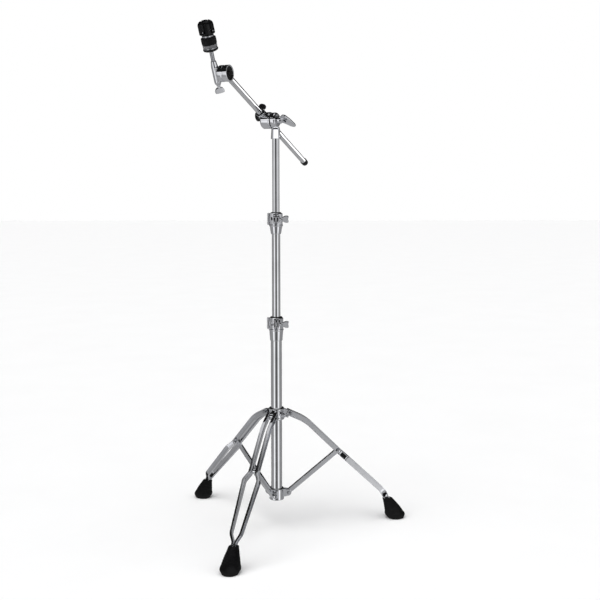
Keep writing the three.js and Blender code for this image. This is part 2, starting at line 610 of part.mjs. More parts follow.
function buildBoom(boomFrame) {
  const axis = group(boomFrame, [0, BOOM_SIDE, BOOM_RISE]);
  const tubeEnd = BOOM.drumCentre - END_DRUM.radius - GAP;
  node(axis, 'boom_tube', alongX(ring(BOOM.bore, BOOM.radius, BOOM.lowEnd, tubeEnd)), CHROME);
  const low = BOOM.lowEnd;
  const cap = alongX(turned([
    [0, low - 16], [6, low - 16], [9.3, low - 13], [9.6, low + 1], [BOOM.radius + GAP, low + 1],
    [BOOM.radius + GAP, low - GAP], [BOOM.bore - GAP, low - GAP], [BOOM.bore - GAP, low + 8], [0, low + 8],
  ]));
  node(axis, 'boom_end_cap', cap, PLASTIC);

  const drumFrame = group(axis, [BOOM.drumCentre, 0, 0]);
  const { radius, half } = END_DRUM;
  const drum = alongY(turned([
    [0, -half], [radius, -half], [radius, -3], [radius - 1.6, -3], [radius - 1.6, 2], [radius, 2],
    [radius, half], [radius - 3.4, half], [radius - 3.4, half - 5], [0, half - 5],
  ]));
  const plug = alongX(rod(BOOM.bore - GAP, -radius - 14, -radius + 4, FACETS));
  node(drumFrame, 'end_drum', drum.add(plug), CAST);
  const cap2 = alongY(turned([
    [0, half - 5 + GAP], [radius - 3.8, half - 5 + GAP], [radius - 3.8, half - 2], [5, half - 2], [5, half - 0.5],
    [0, half - 0.5],
  ]));
  node(drumFrame, 'end_drum_cap', cap2, PLASTIC);
  return drumFrame;
}

// -------------------------------------------------------------- cymbal tilter

function buildCymbalTilter(drumFrame) {
  const rodFrame = group(drumFrame);
  rodFrame.rotation.y = deg(90 - ROD_ELEVATION + BOOM_ELEVATION);
  const face = -END_DRUM.half - GAP;
  const disc = alongY(turned([[0, face - 4], [17, face - 4], [17, face], [0, face]]));
  const post = turned([
    [0, -26], [7, -26], [8.6, -22], [8.6, 18], [6.6, 32], [0, 32],
  ]).translate([0, ROD_SIDE, 0]);
  const web = block([-8, 8], [ROD_SIDE, face - 2], [-20, 17]);
  const bore = hole(ROD.radius + GAP, ROD.bottom - GAP, 40, FACETS).translate([0, ROD_SIDE, 0]);
  const screwHole = hole(3 + GAP, -30, 0).translate([0, ROD_SIDE, 0]);
  node(rodFrame, 'rod_holder', join(disc, post, web).subtract(bore).subtract(screwHole), CAST);

  const onRod = group(rodFrame, [0, ROD_SIDE, 0]);
  const screw = wingScrew({
    radius: 3, shaft: 16, neck: 9, neckRadius: 5.6, span: 25, height: 13.5, thickness: 8, dip: 0, flare: 0.08,
  });
  node(group(onRod, [0, 0, -26 - GAP]), 'rod_wing_screw', screw.rotate([180, 0, NUT_TURN + 90]), CHROME);

  const shaft = turned([
    [0, ROD.bottom], [ROD.radius, ROD.bottom], [ROD.radius, ROD.shoulder], [ROD.screwRadius, ROD.shoulder],
    [ROD.screwRadius, ROD.top - 1.5], [2.6, ROD.top], [0, ROD.top],
  ]);
  node(onRod, 'cymbal_rod', shaft, STEEL);
  return onRod;
}

// ---------------------------------------------------------------- cymbal seat

function buildSeat(onRod) {
  const bore = ROD.screwRadius + GAP;
  const { bottom, rim, radius, sleeve, sleeveTop } = SEAT_CUP;
  const cup = turned([
    [ROD.radius + GAP, bottom], [radius - 4, bottom], [radius, bottom + 3], [radius, rim], [sleeve, rim],
    [sleeve, sleeveTop], [bore, sleeveTop], [bore, ROD.shoulder + GAP], [ROD.radius + GAP, ROD.shoulder + GAP],
    [ROD.radius + GAP, bottom],
  ]);
  node(onRod, 'seat_cup', cup, PLASTIC);
  const layer = (name, piece, look) => {
    const place = group(onRod, [0, 0, piece.bottom]);
    node(place, name, ring(sleeve + 0.5, piece.radius, 0, piece.top - piece.bottom), look);
  };
  layer('seat_washer', WASHER, STEEL);
  layer('lower_felt', LOWER_FELT, GREY_FELT);
  layer('upper_felt', UPPER_FELT, BLACK_FELT);

  const nutFrame = group(onRod, [0, 0, NUT_COLLAR.bottom]);
  const height = NUT_COLLAR.top - NUT_COLLAR.bottom;
  const collar = turned([
    [bore, 0], [NUT_COLLAR.radius, 0], [NUT_COLLAR.radius, height - 2], [NUT_COLLAR.radius - 2, height],
    [bore, height], [bore, 0],
  ]);
  node(nutFrame, 'nut_collar', collar, STEEL);

  const turn = group(onRod, [0, 0, 0]);
  turn.rotation.z = deg(NUT_TURN - 90);
  const dome = turned([
    [0, NUT.bottom], [NUT.radius, NUT.bottom], [NUT.radius, NUT.top - 8], [NUT.radius - 5, NUT.top - 1.5],
    [NUT.radius - 9, NUT.top], [0, NUT.top],
  ], 20);
  const wide = [-30, 30];
  const slab = block([-NUT.slabHalf, NUT.slabHalf], wide, [NUT.bottom - 1, NUT.top + 1]);
  const base = block(wide, wide, [NUT.bottom - 1, NUT.baseTop]);
  const threadHole = hole(bore, NUT.bottom - 1, ROD.top + 2, FACETS);
  node(turn, 'quick_nut_body', dome.intersect(slab.add(base)).subtract(threadHole), PLASTIC);

  for (const [side, sign] of [['left', -1], ['right', 1]]) {
    const place = group(turn, [sign * NUT_PIN.x, 0, NUT_PIN.z]);
    const zone = upright(plate(polygon([
      [NUT.wingInner + 1.5, NUT.wingBottom], [30, NUT.wingBottom], [30, NUT.top + 1], [NUT.wingInner, NUT.top + 1],
    ]), 60));
    const lever = dome.intersect(sign > 0 ? zone : zone.mirror([1, 0, 0]));
    node(place, `quick_nut_lever_${side}`, lever.translate([-sign * NUT_PIN.x, 0, -NUT_PIN.z]), PLASTIC);
  }
}

// ------------------------------------------------------------------- assembly

buildTube(stand, 'base_tube', BASE_TUBE);
buildBasePlug(stand);
buildLowerHub(stand);
buildLegHub(stand);
for (const side of Object.keys(LEG_AZIMUTH)) buildLeg(stand, side);
buildClamp(stand, 'lower', LOWER_CLAMP, BASE_TUBE, MIDDLE_TUBE);
buildTube(stand, 'middle_tube', MIDDLE_TUBE);
buildClamp(stand, 'upper', UPPER_CLAMP, MIDDLE_TUBE, TOP_TUBE);
buildTube(stand, 'top_tube', TOP_TUBE);

const head = group(stand, [0, 0, TILT_HEIGHT]);
head.rotation.z = deg(BOOM_AZIMUTH);
buildTilterBase(head);
buildTilterLever(head);
const boomFrame = group(head);
boomFrame.rotation.y = deg(-BOOM_ELEVATION);
buildBoomHolder(boomFrame);
const drumFrame = buildBoom(boomFrame);
const onRod = buildCymbalTilter(drumFrame);
buildSeat(onRod);

// Origin: the centre of the bottom of the box round everything.
stand.updateMatrixWorld(true);
const box = new THREE.Box3().setFromObject(stand, true);
const centre = box.getCenter(new THREE.Vector3());
stand.position.set(-centre.x, -centre.y, -box.min.z);
stand.updateMatrixWorld(true);

export default stand;
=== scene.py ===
import json
import math

import bmesh
import bpy
from mathutils import Matrix, Vector, noise


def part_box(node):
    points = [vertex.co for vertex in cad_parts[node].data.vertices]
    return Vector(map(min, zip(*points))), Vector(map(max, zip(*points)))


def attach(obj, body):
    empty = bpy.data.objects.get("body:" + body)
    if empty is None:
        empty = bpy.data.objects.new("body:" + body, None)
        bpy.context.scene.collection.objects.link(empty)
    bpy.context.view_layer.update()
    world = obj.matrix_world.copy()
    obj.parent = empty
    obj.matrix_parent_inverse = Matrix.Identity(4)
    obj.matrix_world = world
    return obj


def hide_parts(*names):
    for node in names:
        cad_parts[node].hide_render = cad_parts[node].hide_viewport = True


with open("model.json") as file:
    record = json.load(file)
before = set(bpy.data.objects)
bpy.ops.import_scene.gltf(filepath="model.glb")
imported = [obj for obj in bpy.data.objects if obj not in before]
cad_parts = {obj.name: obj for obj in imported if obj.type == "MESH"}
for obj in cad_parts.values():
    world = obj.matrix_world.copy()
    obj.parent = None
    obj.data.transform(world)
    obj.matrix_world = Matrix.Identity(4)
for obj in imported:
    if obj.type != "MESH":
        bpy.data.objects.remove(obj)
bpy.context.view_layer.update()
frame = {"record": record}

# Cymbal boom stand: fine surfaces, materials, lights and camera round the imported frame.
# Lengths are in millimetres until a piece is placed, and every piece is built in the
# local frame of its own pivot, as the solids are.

MM = 0.001
LONG_TUBE = 128            # segments round a column tube or the boom
ROUND = 96                 # segments round a drum, a clamp or a hub
FINE = 40                  # segments round a pin or a screw
GAP = 0.3
TINY = 1e-4                # closer points than this are one point
SHARP_ANGLE = 32           # edges sharper than this stay crisp

RECORD = frame["record"]
BODY_OF = {node: body for body, nodes in RECORD["behaviour"]["bodies"].items() for node in nodes}

# ---- dimensions

BASE_TUBE = {"radius": 15, "bore": 13.5, "bottom": 79, "top": 544.5}
MIDDLE_TUBE = {"radius": 11.3, "bore": 10.1, "bottom": 440, "top": 823.5}
TOP_TUBE = {"radius": 9.5, "bore": 8.2, "bottom": 735, "top": 1078}
CLAMPS = {
    "lower": {"split": 548, "bell": 31, "ring": 32, "ring_radius": 19, "bell_radius": 18.6,
              "neck_radius": 16.8, "wide": 15, "narrow": 11.3},
    "upper": {"split": 827, "bell": 24, "ring": 32, "ring_radius": 17.4, "bell_radius": 16.6,
              "neck_radius": 13.6, "wide": 11.3, "narrow": 9.5},
}
BUSH_WALL = 2.7
CLAMP_HINGE = {"offset": 2.2, "pin": 1.8, "knuckle": 3.7, "margin": 1, "height": 8}

LEG_AZIMUTH = {"right": 10.67, "left": 130.67, "front": 250.67}
HUB_PIVOT = (37.4, 316.9)
BRACE_PIVOT = (171.6, 205.0)
LOWER_PIVOT = (30.6, 95.5)
FOOT = {"r": 342, "top": 59.5, "top_shift": -25, "length": 1.03, "width": 0.94}
HUB = {"radius": 21.5, "bottom": 301, "top": 334, "lug_half": 4.7, "lug_round": 8}
LOWER_HUB = {"radius": 20, "bottom": 78, "top": 110, "lug": 4, "lug_round": 9}
PIN_RADIUS = 3
HUB_SCREW_AZIMUTH = -49.3
BAR = {"width": 8.8, "height": 15, "wall": 2.2}
BAR_RAIL = [
    # r, z, half spacing, bend length
    (29.5, 320.6, 9.6, 0),
    (80, 296.4, 9.3, 45),
    (177, 200, 8.8, 7),
    (193, 184.8, 19.2, 7),
    (300.5, 82.8, 12.8, 12),
    (310, 66.7, 3.5, 8),
    (322.5, 40, 3.5, 0),
]
PINCH = {"start": 185, "end": 66.7, "width": 0.58}      # the bars narrow between these heights
BRACE = {"half": 4, "round": 6.6}

TILT_HEIGHT = 1101
BOOM_AZIMUTH = -116.5
BOOM_ELEVATION = 23.5
BOOM_SIDE = -40
BOOM_RISE = 14.6
BOOM = {"radius": 8, "bore": 6.8, "low": -276.6, "drum": 218.5}
SOCKET = {"bottom": 1052.4, "radius": 12.8, "shoulder": 1077.5, "shoulder_radius": 11.2, "neck": 1080,
          "neck_radius": 10.2, "screw_height": 8, "screw_azimuth": 96, "screw_boss": 4}
TILT_DRUM = {"radius": 20, "left": -8, "right": 6}
WASHER_THICKNESS = 2
LEVER_OUTLINE = [(10, -8), (17, -9), (21, -16), (28, -20), (34, -17), (42, -3), (47, 10), (50, 19), (49, 25),
                 (45, 27), (36, 24), (25, 14), (18, 9), (10, 8)]
LEVER_OPENING = [(22, -3), (27, -5), (32, 7), (28, 8)]
LEVER_THICKNESS = 6
LEVER_TURN = -127
HOLDER = {"radius": 12.4, "half": 20, "drum_radius": 21.6, "drum_end": -38, "cap_radius": 14.4,
          "cap_face": -52.8, "cap_end": -59}
KNOB = {"x": 12.6, "tip": 10.2, "base": 13.4, "top": 25, "radius": 9.6, "lobes": 6, "dip": 0.085}
END_DRUM = {"radius": 20.2, "half": 13}
ROD_SIDE = -26
ROD_ELEVATION = 66
ROD = {"radius": 5, "screw": 3.9, "bottom": -8, "shoulder": 61, "top": 122}
SEAT_CUP = {"bottom": 57, "rim": 63.1, "radius": 18.6, "sleeve": 6, "sleeve_top": 89}
WASHER = (63.4, 65.9, 17.6)
LOWER_FELT = (66.2, 73.6, 18)
UPPER_FELT = (73.9, 90.7, 18.8)
NUT_COLLAR = (91, 97.8, 14.6)
NUT = {"bottom": 98.1, "base_top": 102, "wing_bottom": 103.4, "top": 130.4, "radius": 19.3,
       "slab_half": 6.4, "wing_inner": 9.2}
NUT_TURN = 38.5
NUT_PIN = (12.4, 106)

# ---- frames


def turn(axis, degrees):
    return Matrix.Rotation(math.radians(degrees), 4, axis)


def shift(x, y, z):
    return Matrix.Translation((x, y, z))


def to_point(point):
    """Move in the XZ plane."""
    return shift(point[0], 0, point[1])


def to_metres(matrix):
    """The same placement with its move in metres."""
    placed = matrix.copy()
    placed.translation = matrix.translation * MM
    return placed


low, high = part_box("base_tube")
STAND = shift((low.x + high.x) / 2 / MM, (low.y + high.y) / 2 / MM, 0)
STAND_METRES = to_metres(STAND)
LEG_PLANE = {side: STAND @ turn("Z", azimuth) for side, azimuth in LEG_AZIMUTH.items()}
HEAD = STAND @ shift(0, 0, TILT_HEIGHT) @ turn("Z", BOOM_AZIMUTH)
BOOM_FRAME = HEAD @ turn("Y", -BOOM_ELEVATION)
BOOM_AXIS = BOOM_FRAME @ shift(0, BOOM_SIDE, BOOM_RISE)
DRUM_FRAME = BOOM_AXIS @ shift(BOOM["drum"], 0, 0)
ROD_FRAME = DRUM_FRAME @ turn("Y", 90 - ROD_ELEVATION + BOOM_ELEVATION)
ON_ROD = ROD_FRAME @ shift(0, ROD_SIDE, 0)
NUT_FRAME = ON_ROD @ turn("Z", NUT_TURN - 90)

ALONG_X = turn("Y", 90)
ALONG_Y = turn("X", -90)
UPRIGHT = turn("X", 90)

# ---- shape helpers


def softened(points, radius, closed, steps=3):
    """Profile with its corners turned into small curves."""
    points = [Vector(p) for p in points]
    count = len(points)
    result = []
    for i, corner in enumerate(points):
        if not closed and i in (0, count - 1):
            result.append(corner)
            continue
        before = points[i - 1] - corner
        after = points[(i + 1) % count] - corner
        reach = min(radius, before.length * 0.45, after.length * 0.45)
        start = corner + before.normalized() * reach
        end = corner + after.normalized() * reach
        for step in range(steps + 1):
            t = step / steps
            result.append(start.lerp(corner, t).lerp(corner.lerp(end, t), t))
    return result


def lathe(profile, segments=ROUND, soft=0.5, closed=False):
    """Body turned round Z from a profile of (radius, z): axis to axis, or closed on itself."""
    shape = bmesh.new()
    rings = []
    for point in softened(profile, soft, closed):
        if point.x < 1e-6:
            rings.append([shape.verts.new((0, 0, point.y))])
            continue
        angles = [2 * math.pi * k / segments for k in range(segments)]
        around = [(point.x * math.cos(a), point.x * math.sin(a), point.y) for a in angles]
        rings.append([shape.verts.new(place) for place in around])
    pairs = list(zip(rings, rings[1:]))
    if closed:
        pairs.append((rings[-1], rings[0]))
    for lower, upper in pairs:
        for k in range(segments):
            after = (k + 1) % segments
            corners = [lower[k % len(lower)], lower[after % len(lower)], upper[after % len(upper)],
                       upper[k % len(upper)]]
            unique = list(dict.fromkeys(corners))
            if len(unique) > 2:
                shape.faces.new(unique)
    bmesh.ops.recalc_face_normals(shape, faces=shape.faces)
    return shape


def ring(inner, outer, bottom, top, segments=ROUND, soft=0.4):
    return lathe([(inner, bottom), (outer, bottom), (outer, top), (inner, top)], segments, soft, closed=True)


def rod(radius, bottom, top, segments=FINE, soft=0.4):
    return lathe([(0, bottom), (radius, bottom), (radius, top), (0, top)], segments, soft)


def plate(outline, thickness, soft=0.8):
    """Flat plate from an outline in the XY plane, its rims rounded."""
    shape = bmesh.new()
    bottom = [shape.verts.new((x, y, -thickness / 2)) for x, y in outline]
    top = [shape.verts.new((x, y, thickness / 2)) for x, y in outline]
    shape.faces.new(bottom)
    shape.faces.new(list(reversed(top)))
    count = len(outline)
    for i in range(count):
        shape.faces.new([bottom[i], top[i], top[(i + 1) % count], bottom[(i + 1) % count]])
    bmesh.ops.recalc_face_normals(shape, faces=shape.faces)
    if soft:
        rims = [e for e in shape.edges if abs(e.verts[0].co.z - e.verts[1].co.z) < 1e-6]
        bmesh.ops.bevel(shape, geom=rims, offset=soft, segments=3, profile=0.5, affect="EDGES",
                        clamp_overlap=True)
    return shape


def block(x, y, z, soft=0.7):
    """Box with rounded edges, from its three ranges."""
    shape = bmesh.new()
    bmesh.ops.create_cube(shape, size=1)
    size = [high - low for low, high in (x, y, z)]
    middle = [(low + high) / 2 for low, high in (x, y, z)]
    bmesh.ops.transform(shape, matrix=shift(*middle) @ Matrix.Diagonal((*size, 1)), verts=shape.verts)
    if soft:
        bmesh.ops.bevel(shape, geom=shape.edges[:], offset=soft, segments=3, profile=0.5, affect="EDGES")
    return shape


def at(shape, matrix):
    bmesh.ops.transform(shape, matrix=matrix, verts=shape.verts)
    if matrix.determinant() < 0:
        bmesh.ops.reverse_faces(shape, faces=shape.faces)
    return shape


def in_scene(name, data):
    """New object of the scene that holds the data."""
    obj = bpy.data.objects.new(name, data)
    bpy.context.scene.collection.objects.link(obj)
    return obj


def shape_in_scene(name, shape):
    mesh = bpy.data.meshes.new(name)
    shape.to_mesh(mesh)
    shape.free()
    return in_scene(name, mesh)


def applied(target, helpers=()):
    """Mesh of the target with its modifiers applied. The target and its helpers are removed."""
    bpy.context.view_layer.update()
    mesh = bpy.data.meshes.new_from_object(target.evaluated_get(bpy.context.evaluated_depsgraph_get()))
    result = bmesh.new()
    result.from_mesh(mesh)
    bpy.data.meshes.remove(mesh)
    for helper in (*helpers, target):
        data = helper.data
        bpy.data.objects.remove(helper)
        bpy.data.meshes.remove(data)
    return result


def combined(base, add=(), cut=(), meet=()):
    """Base joined with add, less cut, kept only inside meet."""
    target = shape_in_scene("helper", base)
    helpers = []
    for operation, shapes in (("UNION", add), ("DIFFERENCE", cut), ("INTERSECT", meet)):
        for shape in shapes:
            helper = shape_in_scene("helper", shape)
            helpers.append(helper)
            modifier = target.modifiers.new("join", "BOOLEAN")
            modifier.operation = operation
            modifier.solver = "MANIFOLD"
            modifier.object = helper
    result = applied(target, helpers)
    bmesh.ops.remove_doubles(result, verts=result.verts, dist=TINY)
    bmesh.ops.dissolve_degenerate(result, dist=TINY, edges=result.edges)
    return result


def rounded_edges(shape, width):
    """The same body with its sharp edges bevelled."""
    target = shape_in_scene("helper", shape)
    modifier = target.modifiers.new("soften", "BEVEL")
    modifier.width = width
    modifier.segments = 3
    modifier.limit_method = "ANGLE"
    modifier.angle_limit = math.radians(38)
    return applied(target)


def arc(centre, radius, start, end, steps=24):
    """Points of an arc, angles in degrees."""
    angles = [math.radians(start + (end - start) * k / steps) for k in range(steps + 1)]
    return [(centre[0] + radius * math.cos(a), centre[1] + radius * math.sin(a)) for a in angles]


def smoothed_outline(points, radius):
    return [tuple(p) for p in softened(points, radius, closed=True, steps=5)]


def hexagon(radius):
    return arc((0, 0), radius, 0, 300, 5)


def piece(name, shape, matrix, material, body):
    """Puts a finished shape in the scene, riding on a body of the frame."""
    obj = shape_in_scene(name, at(shape, Matrix.Scale(MM, 4)))
    obj.data.materials.append(material)
    obj.data.shade_smooth()
    obj.data.set_sharp_from_angle(angle=math.radians(SHARP_ANGLE))
    obj.modifiers.new("weighted", "WEIGHTED_NORMAL").keep_sharp = True
    obj.matrix_world = to_metres(matrix)
    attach(obj, body)
    return obj


def fine(node, shape, matrix, material):
    """Piece that stands for a node of the frame, on the same body."""
    obj = piece(f"{node}_fine", shape, matrix, material, BODY_OF[node])
    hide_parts(node)
    return obj


# ---- materials


def add_node(tree, kind, values, sources):
    """New node of a tree, from the values of some sockets and what feeds the others."""
    node = tree.nodes.new(kind)
    for socket, value in values.items():
        node.inputs[socket].default_value = value
    for socket, source in sources.items():
        tree.links.new(source, node.inputs[socket])
    return node


def add_ramp(tree, source, stops):
    node = add_node(tree, "ShaderNodeValToRGB", {}, {"Fac": source})
    elements = node.color_ramp.elements
    while len(elements) < len(stops):
        elements.new(0.5)
    for element, (position, color) in zip(elements, stops):
        element.position = position
        element.color = (*color, 1)
    return node.outputs["Color"]


class Look:
    """A Principled material, and short ways of adding nodes to it."""

    def __init__(self, name, **constants):
        self.material = bpy.data.materials.new(name)
        self.material.use_nodes = True
        self.tree = self.material.node_tree
        self.shader = self.tree.nodes["Principled BSDF"]
        self.coords = self.tree.nodes.new("ShaderNodeTexCoord").outputs["Object"]
        for socket, value in constants.items():
            self.shader.inputs[socket.replace("_", " ")].default_value = value

    def stretched(self, scale):
        mapping = add_node(self.tree, "ShaderNodeMapping", {"Scale": scale}, {"Vector": self.coords})
        return mapping.outputs["Vector"]

    def noise(self, scale, detail=4.0, roughness=0.6, stretch=(1, 1, 1)):
        values = {"Scale": scale, "Detail": detail, "Roughness": roughness}
        node = add_node(self.tree, "ShaderNodeTexNoise", values, {"Vector": self.stretched(stretch)})
        return node.outputs["Fac"]

    def cells(self, scale):
        node = add_node(self.tree, "ShaderNodeTexVoronoi", {"Scale": scale}, {"Vector": self.coords})
        return node.outputs["Distance"]

    def mapped(self, source, low, high, to_low, to_high):
        values = {"From Min": low, "From Max": high, "To Min": to_low, "To Max": to_high}
        return add_node(self.tree, "ShaderNodeMapRange", values, {"Value": source}).outputs["Result"]

    def sum(self, a, b):
        node = add_node(self.tree, "ShaderNodeMath", {}, {0: a, 1: b})
        node.operation = "ADD"
        return node.outputs[0]

    def ramp(self, source, *stops):
        return add_ramp(self.tree, source, stops)

    def into(self, socket, source):
        self.tree.links.new(source, self.shader.inputs[socket])

    def bump(self, height, strength, distance):
        """Adds relief on top of any relief there is."""
        node = add_node(self.tree, "ShaderNodeBump", {"Strength": strength, "Distance": distance},
                        {"Height": height})
        for link in self.shader.inputs["Normal"].links:
            self.tree.links.new(link.from_socket, node.inputs["Normal"])
        self.into("Normal", node.outputs["Normal"])


def chrome(name, tone, waviness, scratch_stretch, roughness):
    """Polished plating: faint smudges, hairline scratches along the piece, slight waviness."""
    look = Look(name, Metallic=1.0)
    smudge = look.noise(24, detail=5, roughness=0.65)
    scratches = look.noise(900, detail=2, stretch=scratch_stretch)
    dull = tuple(0.88 * c for c in tone)
    look.into("Base Color", look.ramp(smudge, (0.32, dull), (0.62, tone)))
    look.into("Roughness", look.sum(
        look.mapped(smudge, 0.35, 0.75, roughness * 0.6, roughness * 1.6),
        look.mapped(scratches, 0.62, 0.8, 0.0, 0.04),
    ))
    look.bump(look.noise(60, detail=2), waviness, 0.0004)
    look.bump(scratches, 0.03, 0.00005)
    return look.material


def satin_steel(name):
    look = Look(name, Metallic=1.0, Anisotropic=0.4)
    lines = look.noise(700, detail=3, stretch=(1, 1, 0.04))
    tarnish = look.noise(45, detail=5)
    look.into("Base Color", look.ramp(tarnish, (0.3, (0.42, 0.43, 0.45)), (0.7, (0.66, 0.67, 0.69))))
    look.into("Roughness", look.mapped(lines, 0.3, 0.7, 0.16, 0.32))
    look.bump(lines, 0.12, 0.0001)
    return look.material


def moulded(name, dark, light, low_rough, high_rough, grain, depth, coat=0.0):
    """Moulded plastic or nylon: fine grain, and paler scuffs where hands and tubes rub it."""
    look = Look(name, Specular_IOR_Level=0.3, Coat_Weight=coat, Coat_Roughness=0.25)
    rub = look.noise(38, detail=6, roughness=0.7)
    fine = look.noise(grain, detail=2)
    look.into("Base Color", look.ramp(rub, (0.45, dark), (0.78, light)))
    look.into("Roughness", look.mapped(rub, 0.3, 0.75, low_rough, high_rough))
    look.bump(fine, depth, 0.00025)
    return look.material


def boot_rubber():
    look = Look("boot_rubber", Specular_IOR_Level=0.2)
    dust = look.noise(30, detail=8, roughness=0.7)
    pores = look.cells(1400)
    dark, dusty = (0.0022, 0.0022, 0.0024), (0.014, 0.014, 0.0145)
    look.into("Base Color", look.ramp(dust, (0.42, dark), (0.85, dusty)))
    look.into("Roughness", look.mapped(dust, 0.3, 0.8, 0.5, 0.85))
    look.bump(pores, 0.25, 0.0002)
    look.bump(dust, 0.2, 0.0006)
    return look.material


def felt(name, dark, light, sheen):
    """Pressed wool: matted fibres in all directions, a soft sheen and a few pale strands."""
    look = Look(name, Roughness=0.95, Specular_IOR_Level=0.15, Sheen_Weight=sheen, Sheen_Roughness=0.5)
    tufts = look.noise(420, detail=8, roughness=0.75)
    strands = look.noise(1500, detail=3, stretch=(0.25, 0.25, 1.6))
    clumps = look.noise(90, detail=3)
    mixed = look.sum(look.mapped(tufts, 0.3, 0.7, 0.0, 0.6), look.mapped(clumps, 0.3, 0.7, 0.0, 0.4))
    middle = tuple(0.5 * (a + b) for a, b in zip(dark, light))
    look.into("Base Color", look.ramp(mixed, (0.2, dark), (0.6, middle), (0.95, light)))
    look.bump(tufts, 0.8, 0.0008)
    look.bump(strands, 0.5, 0.0004)
    return look.material


TUBE_CHROME = chrome("tube_chrome", (0.90, 0.91, 0.92), 0.012, (1, 1, 0.03), roughness=0.018)
BOOM_CHROME = chrome("boom_chrome", (0.90, 0.91, 0.92), 0.012, (0.03, 1, 1), roughness=0.018)
CHANNEL_CHROME = chrome("channel_chrome", (0.88, 0.89, 0.91), 0.05, (0.2, 1, 0.2), roughness=0.04)
CAST_CHROME = chrome("cast_chrome", (0.88, 0.89, 0.91), 0.06, (1, 1, 1), roughness=0.03)
STEEL = satin_steel("bright_steel")
PLASTIC = moulded("black_plastic", (0.0018, 0.0018, 0.002), (0.008, 0.008, 0.0085), 0.28, 0.5, 1800, 0.15,
                  coat=0.05)
NYLON = moulded("black_nylon", (0.003, 0.003, 0.0035), (0.014, 0.014, 0.015), 0.45, 0.7, 1200, 0.25)
RUBBER = boot_rubber()
BLACK_FELT = felt("black_felt", (0.002, 0.002, 0.0022), (0.014, 0.014, 0.015), 0.04)
GREY_FELT = felt("grey_felt", (0.08, 0.08, 0.085), (0.22, 0.22, 0.23), 0.15)

# ---- shared fittings


def wing_screw(radius, shaft, neck, neck_radius, span, height, thickness, dip=0.4, flare=0.25):
    """Wing screw along +Z with a cone neck and a flat, round-edged wing in the XZ plane."""
    stem = lathe([
        (0, -shaft), (radius, -shaft), (radius, 0), (neck_radius, 0), (neck_radius * 0.95, neck * 0.25),
        (neck_radius * 0.62, neck * 0.6), (neck_radius * 0.7, neck + 2), (0, neck + 2),
    ], FINE, 0.6)
    half = span / 2
    waist = neck_radius * 0.8
    side = [(waist, neck - 2), (half - 3, neck + height * flare), (half - 0.3, neck + height * 0.55),
            (half - 1.6, neck + height * 0.95), (half * 0.5, neck + height * 0.97)]
    mirrored = [(-x, y) for x, y in reversed(side)]
    outline = smoothed_outline(side + [(0, neck + height * (1 - dip))] + mirrored, 4)
    return combined(stem, add=[at(plate(outline, thickness, thickness * 0.42), UPRIGHT)])


def threads(radius, bottom, top, pitch=1.0, depth=0.45):
    """Shaft with ring grooves that read as a thread."""
    profile = [(0, bottom)]
    z = bottom
    while z < top - pitch:
        profile += [(radius - depth, z), (radius, z + pitch / 2)]
        z += pitch
    profile += [(radius - depth, top), (0, top)]
    return lathe(profile, FINE, 0.05)


def headed_pin(radius, grip):
    """Pin along Y with a domed head on both ends."""
    head = radius + 1.6
    end = grip / 2 + 1.6
    return at(lathe([
        (0, -end), (head * 0.75, -end), (head, -grip / 2 - 0.6), (head, -grip / 2), (radius, -grip / 2),
        (radius, grip / 2), (head, grip / 2), (head, grip / 2 + 0.6), (head * 0.75, end), (0, end),
    ], FINE, 0.5), ALONG_Y)


# ---- column


def build_tube(node, tube):
    shape = ring(tube["bore"], tube["radius"], tube["bottom"], tube["top"], LONG_TUBE, 0.5)
    fine(node, shape, STAND, TUBE_CHROME)


